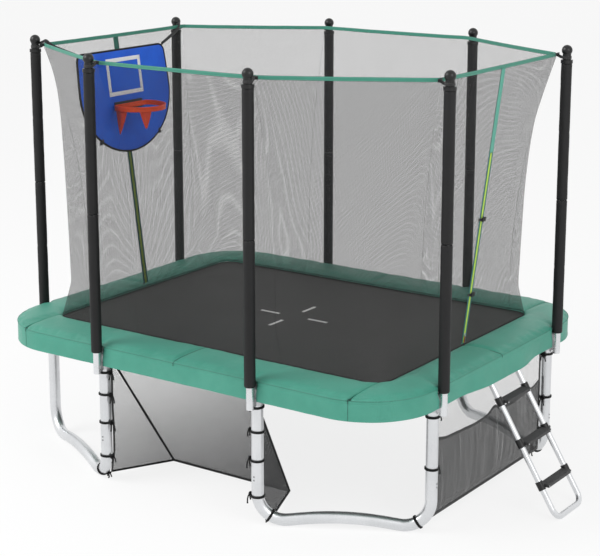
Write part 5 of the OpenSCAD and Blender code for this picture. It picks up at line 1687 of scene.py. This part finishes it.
binding = webbing("black binding", 0.018, (14, 14, 15), (28, 28, 29), (10, 10, 11), 0.0012)
bound = []
mouth = [pouch_spot(-1 + 2 * i / 96, 1, 0.0008) for i in range(97)]
bound.append(strip(mouth, (0, 0, 1), 0.018, 0.0026))
foot = [(bag_plane + 0.0012, y * bag_half / 20, bag_foot + 0.0095) for y in range(-20, 21)]
bound.append(strip(foot, (0, 0, 1), 0.019, 0.003))
for s in (-1, 1):
    path = [(bag_plane + 0.0008, s * (bag_half - 0.0065 + 0.002 * ripple(104, k * 0.7)),
             bag_foot + 0.004 + (bag_high - bag_foot - 0.004) * k / 24) for k in range(25)]
    bound.append(strip(path, (0, 1, 0), 0.019, 0.003))
bindings = add_piece("storage_binding", *gather(bound), binding)


# ---- Goal net ------------------------------------------------------------------------------------
# A small net between the two near legs makes a goal for balls. A back panel slopes in from the frame to the
# ground, and a triangle closes each side. A black cord edges every panel.
goal_post, goal_half = 0.5465, 0.458
goal_top, goal_foot = (-1.183, 0.806), (-0.706, 0.0055)
goal_pitch = 0.0058
goal_mesh, shader, place = new_material("goal net", 0.7)
weave = weave_of(goal_mesh)
u, v = weave.axis("X") * (1 / goal_pitch), weave.axis("Y") * (1 / goal_pitch)
# Painted shade: the threads grow thicker towards the right and the ground, so the net darkens there as if
# shaded.
dense = (place.axis("X") * 0.5 - place.axis("Z") * 0.9).smooth(-1.0, 0.25)
share = dense * 0.23 + 0.125
lines = [(0.5 - (both.math("FRACT", both) - 0.5).size() < share) for both in (u, v)]
covered = lines[0].math("MAXIMUM", lines[0], lines[1])
tone = weave.noise(9.0, 3.0)
drive(shader, "Alpha", covered)
# The same painted shade darkens the threads' colour towards the right and the ground.
drive(shader, "Base Color", (tone * 0.5 + (1 - dense) * 0.5).mix((44, 44, 45), (96, 96, 97)))
drive(shader, "Roughness", tone * 0.2 + 0.6)


def goal_back_spot(s, t):
    """A place on the back panel: s across it, t from the ground up to the frame."""
    half = goal_half + (goal_post - 0.006 - goal_half) * t
    slack = 0.009 * sin(pi * s) * sin(pi * t) + 0.002 * ripple(111, s * 8, t * 6) * (1 - t)
    y = goal_foot[0] + (goal_top[0] - goal_foot[0]) * t + slack * 0.86
    return (2 * s - 1) * half, y, goal_foot[1] + (goal_top[1] - goal_foot[1]) * t + slack * 0.3


def goal_front(side, t):
    """The front edge of a side: out behind the leg's foot bend, then up along the leg's inner side."""
    low, bend, high = (Vector((side * x, y, z)) for x, y, z in (
        (0.6315, -1.122, 0.0275), (0.548, -1.188, 0.2), (0.5475, -1.198, 0.790)))
    return low.lerp(bend, t / 0.2) if t < 0.2 else bend.lerp(high, (t - 0.2) / 0.8)


def goal_side_spot(side):
    """A side panel: s runs from the leg to the sloping edge, t from the ground up."""
    def spot(s, t):
        inner = Vector((side * 0.464, -0.712, 0.0065)).lerp(Vector((side * 0.5465, -1.1955, 0.790)), t)
        slack = 0.003 * ripple(112, s * 4, t * 4) * sin(pi * s)
        return tuple(goal_front(side, t).lerp(inner, s) + Vector((side * slack, 0, 0)))
    return spot


back = add_piece("goal_back", *cloth_grid(goal_back_spot, 44, 36, (1.0, 0.933)), goal_mesh)
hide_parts("goal_net")
for label, side in (("left", -1), ("right", 1)):
    made = add_piece("goal_side_" + label, *cloth_grid(goal_side_spot(side), 20, 30, (0.50, 0.78)), goal_mesh)
    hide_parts("goal_net")

edging, strips = [], []
for side in (-1, 1):
    low, high = Vector((side * 0.4615, -0.709, 0.0105)), Vector((side * 0.5440, -1.1895, 0.801))
    edging.append(tube([low.lerp(high, k / 20) for k in range(21)], 0.0080, 10))
    front = [goal_front(side, k / 30) for k in range(31)]
    edging.append(tube([low.lerp(front[0] + Vector((0, 0, 0.002)), k / 10) for k in range(11)], 0.0070, 10))
    tape = [spot + Vector((0, -0.0015 - 0.002 * sin(k * 0.4), 0)) for k, spot in enumerate(front)]
    strips.append(strip(tape, (0, 1, 0), 0.018, 0.0034))
edging.append(tube([(0.4615 * x / 12, -0.7075, 0.0105) for x in range(-12, 13)], 0.0078, 10))
edging = add_piece("goal_cords", *gather(edging), piping_black)
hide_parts("goal_net_edging")
strips = add_piece("goal_strips", *gather(strips), binding)


# ---- Ties ----------------------------------------------------------------------------------------
# Black elastic cords hold both nets to their legs. Each goes twice round the tube and is tied in a bow beside
# the net's bound edge.
leg_r, bend_r, tie_r = 0.0365, 0.160, 0.0038
bend_height = leg_r - 0.0005 + bend_r


def leg_line(foot, toward, turn):
    """A point on a leg's centre line after turning through the foot bend, and the tube's direction there."""
    along, height = bend_r * (1 - cos(turn)), bend_height - bend_r * sin(turn)
    spot = Vector((foot[0], foot[1], 0)) + toward * along + Vector((0, 0, height))
    return spot, (toward * sin(turn) + Vector((0, 0, -cos(turn)))).normalized()


def tie(centre, axis, knot_way, seed):
    """Two turns of cord round a tube, a knot on one side of it and two tails that hang from the knot."""
    rng = random.Random(seed)
    side = (knot_way - axis * knot_way.dot(axis)).normalized()
    across = axis.cross(side)
    slant = rng.uniform(-0.10, 0.10)
    parts = []
    for lift in (-tie_r, tie_r):
        ring = []
        for k in range(28):
            w = 2 * pi * k / 28
            way = side * cos(w) + across * sin(w)
            ring.append(centre + way * (leg_r + tie_r + 0.0001) + axis * (lift + slant * sin(w) * 0.03))
        parts.append(tube(ring, tie_r, 6, True))
    knot = centre + side * (leg_r + 0.0125)
    for k, (wide, tall) in enumerate(((0.0140, 0.0090), (0.0100, 0.0130))):
        loop = [knot + across * (wide * cos(w)) + axis * (tall * sin(w)) + side * (0.003 * sin(2 * w))
                for w in (2 * pi * i / 14 for i in range(14))]
        parts.append(tube(loop, 0.0052, 6, True))
    for way in (-1, 1):
        length = rng.uniform(0.036, 0.058)
        lean = way * rng.uniform(0.10, 0.34)
        tail = []
        for k in range(8):
            t = k / 7
            spot = knot + across * (0.006 * way + lean * length * t) + side * (0.004 + 0.008 * sin(2.4 * t))
            spot.z = max(0.006, spot.z - length * t ** 1.15 + 0.004 * sin(pi * t))
            tail.append(spot)
        parts.append(tube(tail, lambda t: 0.0042 if t < 0.86 else 0.0054, 6))
    return parts


# Each tied leg: the leg that its foot bends to, and the heights of its ties. One more tie is on its bend.
tie_places = {0: (7, (0.730, 0.584, 0.401, 0.178)), 1: (2, (0.736, 0.582, 0.404, 0.181)),
              2: (1, (0.716, 0.398)), 3: (4, (0.722, 0.430, 0.215))}
bend_tie = radians(58)
tied = []
for leg, (other_leg, heights) in tie_places.items():
    x, y, dx, dy = leg_spots[leg]
    other = leg_spots[other_leg]
    toward = Vector((other[0] - x, other[1] - y, 0)).normalized()
    knot_way = Vector((-copysign(1, x), 0, 0)) if leg < 2 else Vector((0, -copysign(1, y), 0))
    knot_out = knot_way + Vector((dx, dy, 0)) * 0.12
    for k, z in enumerate(heights):
        tied += tie(Vector((x, y, z)), Vector((0, 0, 1)), knot_out, 120 + leg * 7 + k)
    centre, axis = leg_line((x, y), toward, bend_tie)
    tied += tie(centre, axis, knot_way * 0.9 + Vector((0, 0, -0.2)), 160 + leg)
ties = add_piece("leg_ties", *gather(tied), piping_black)
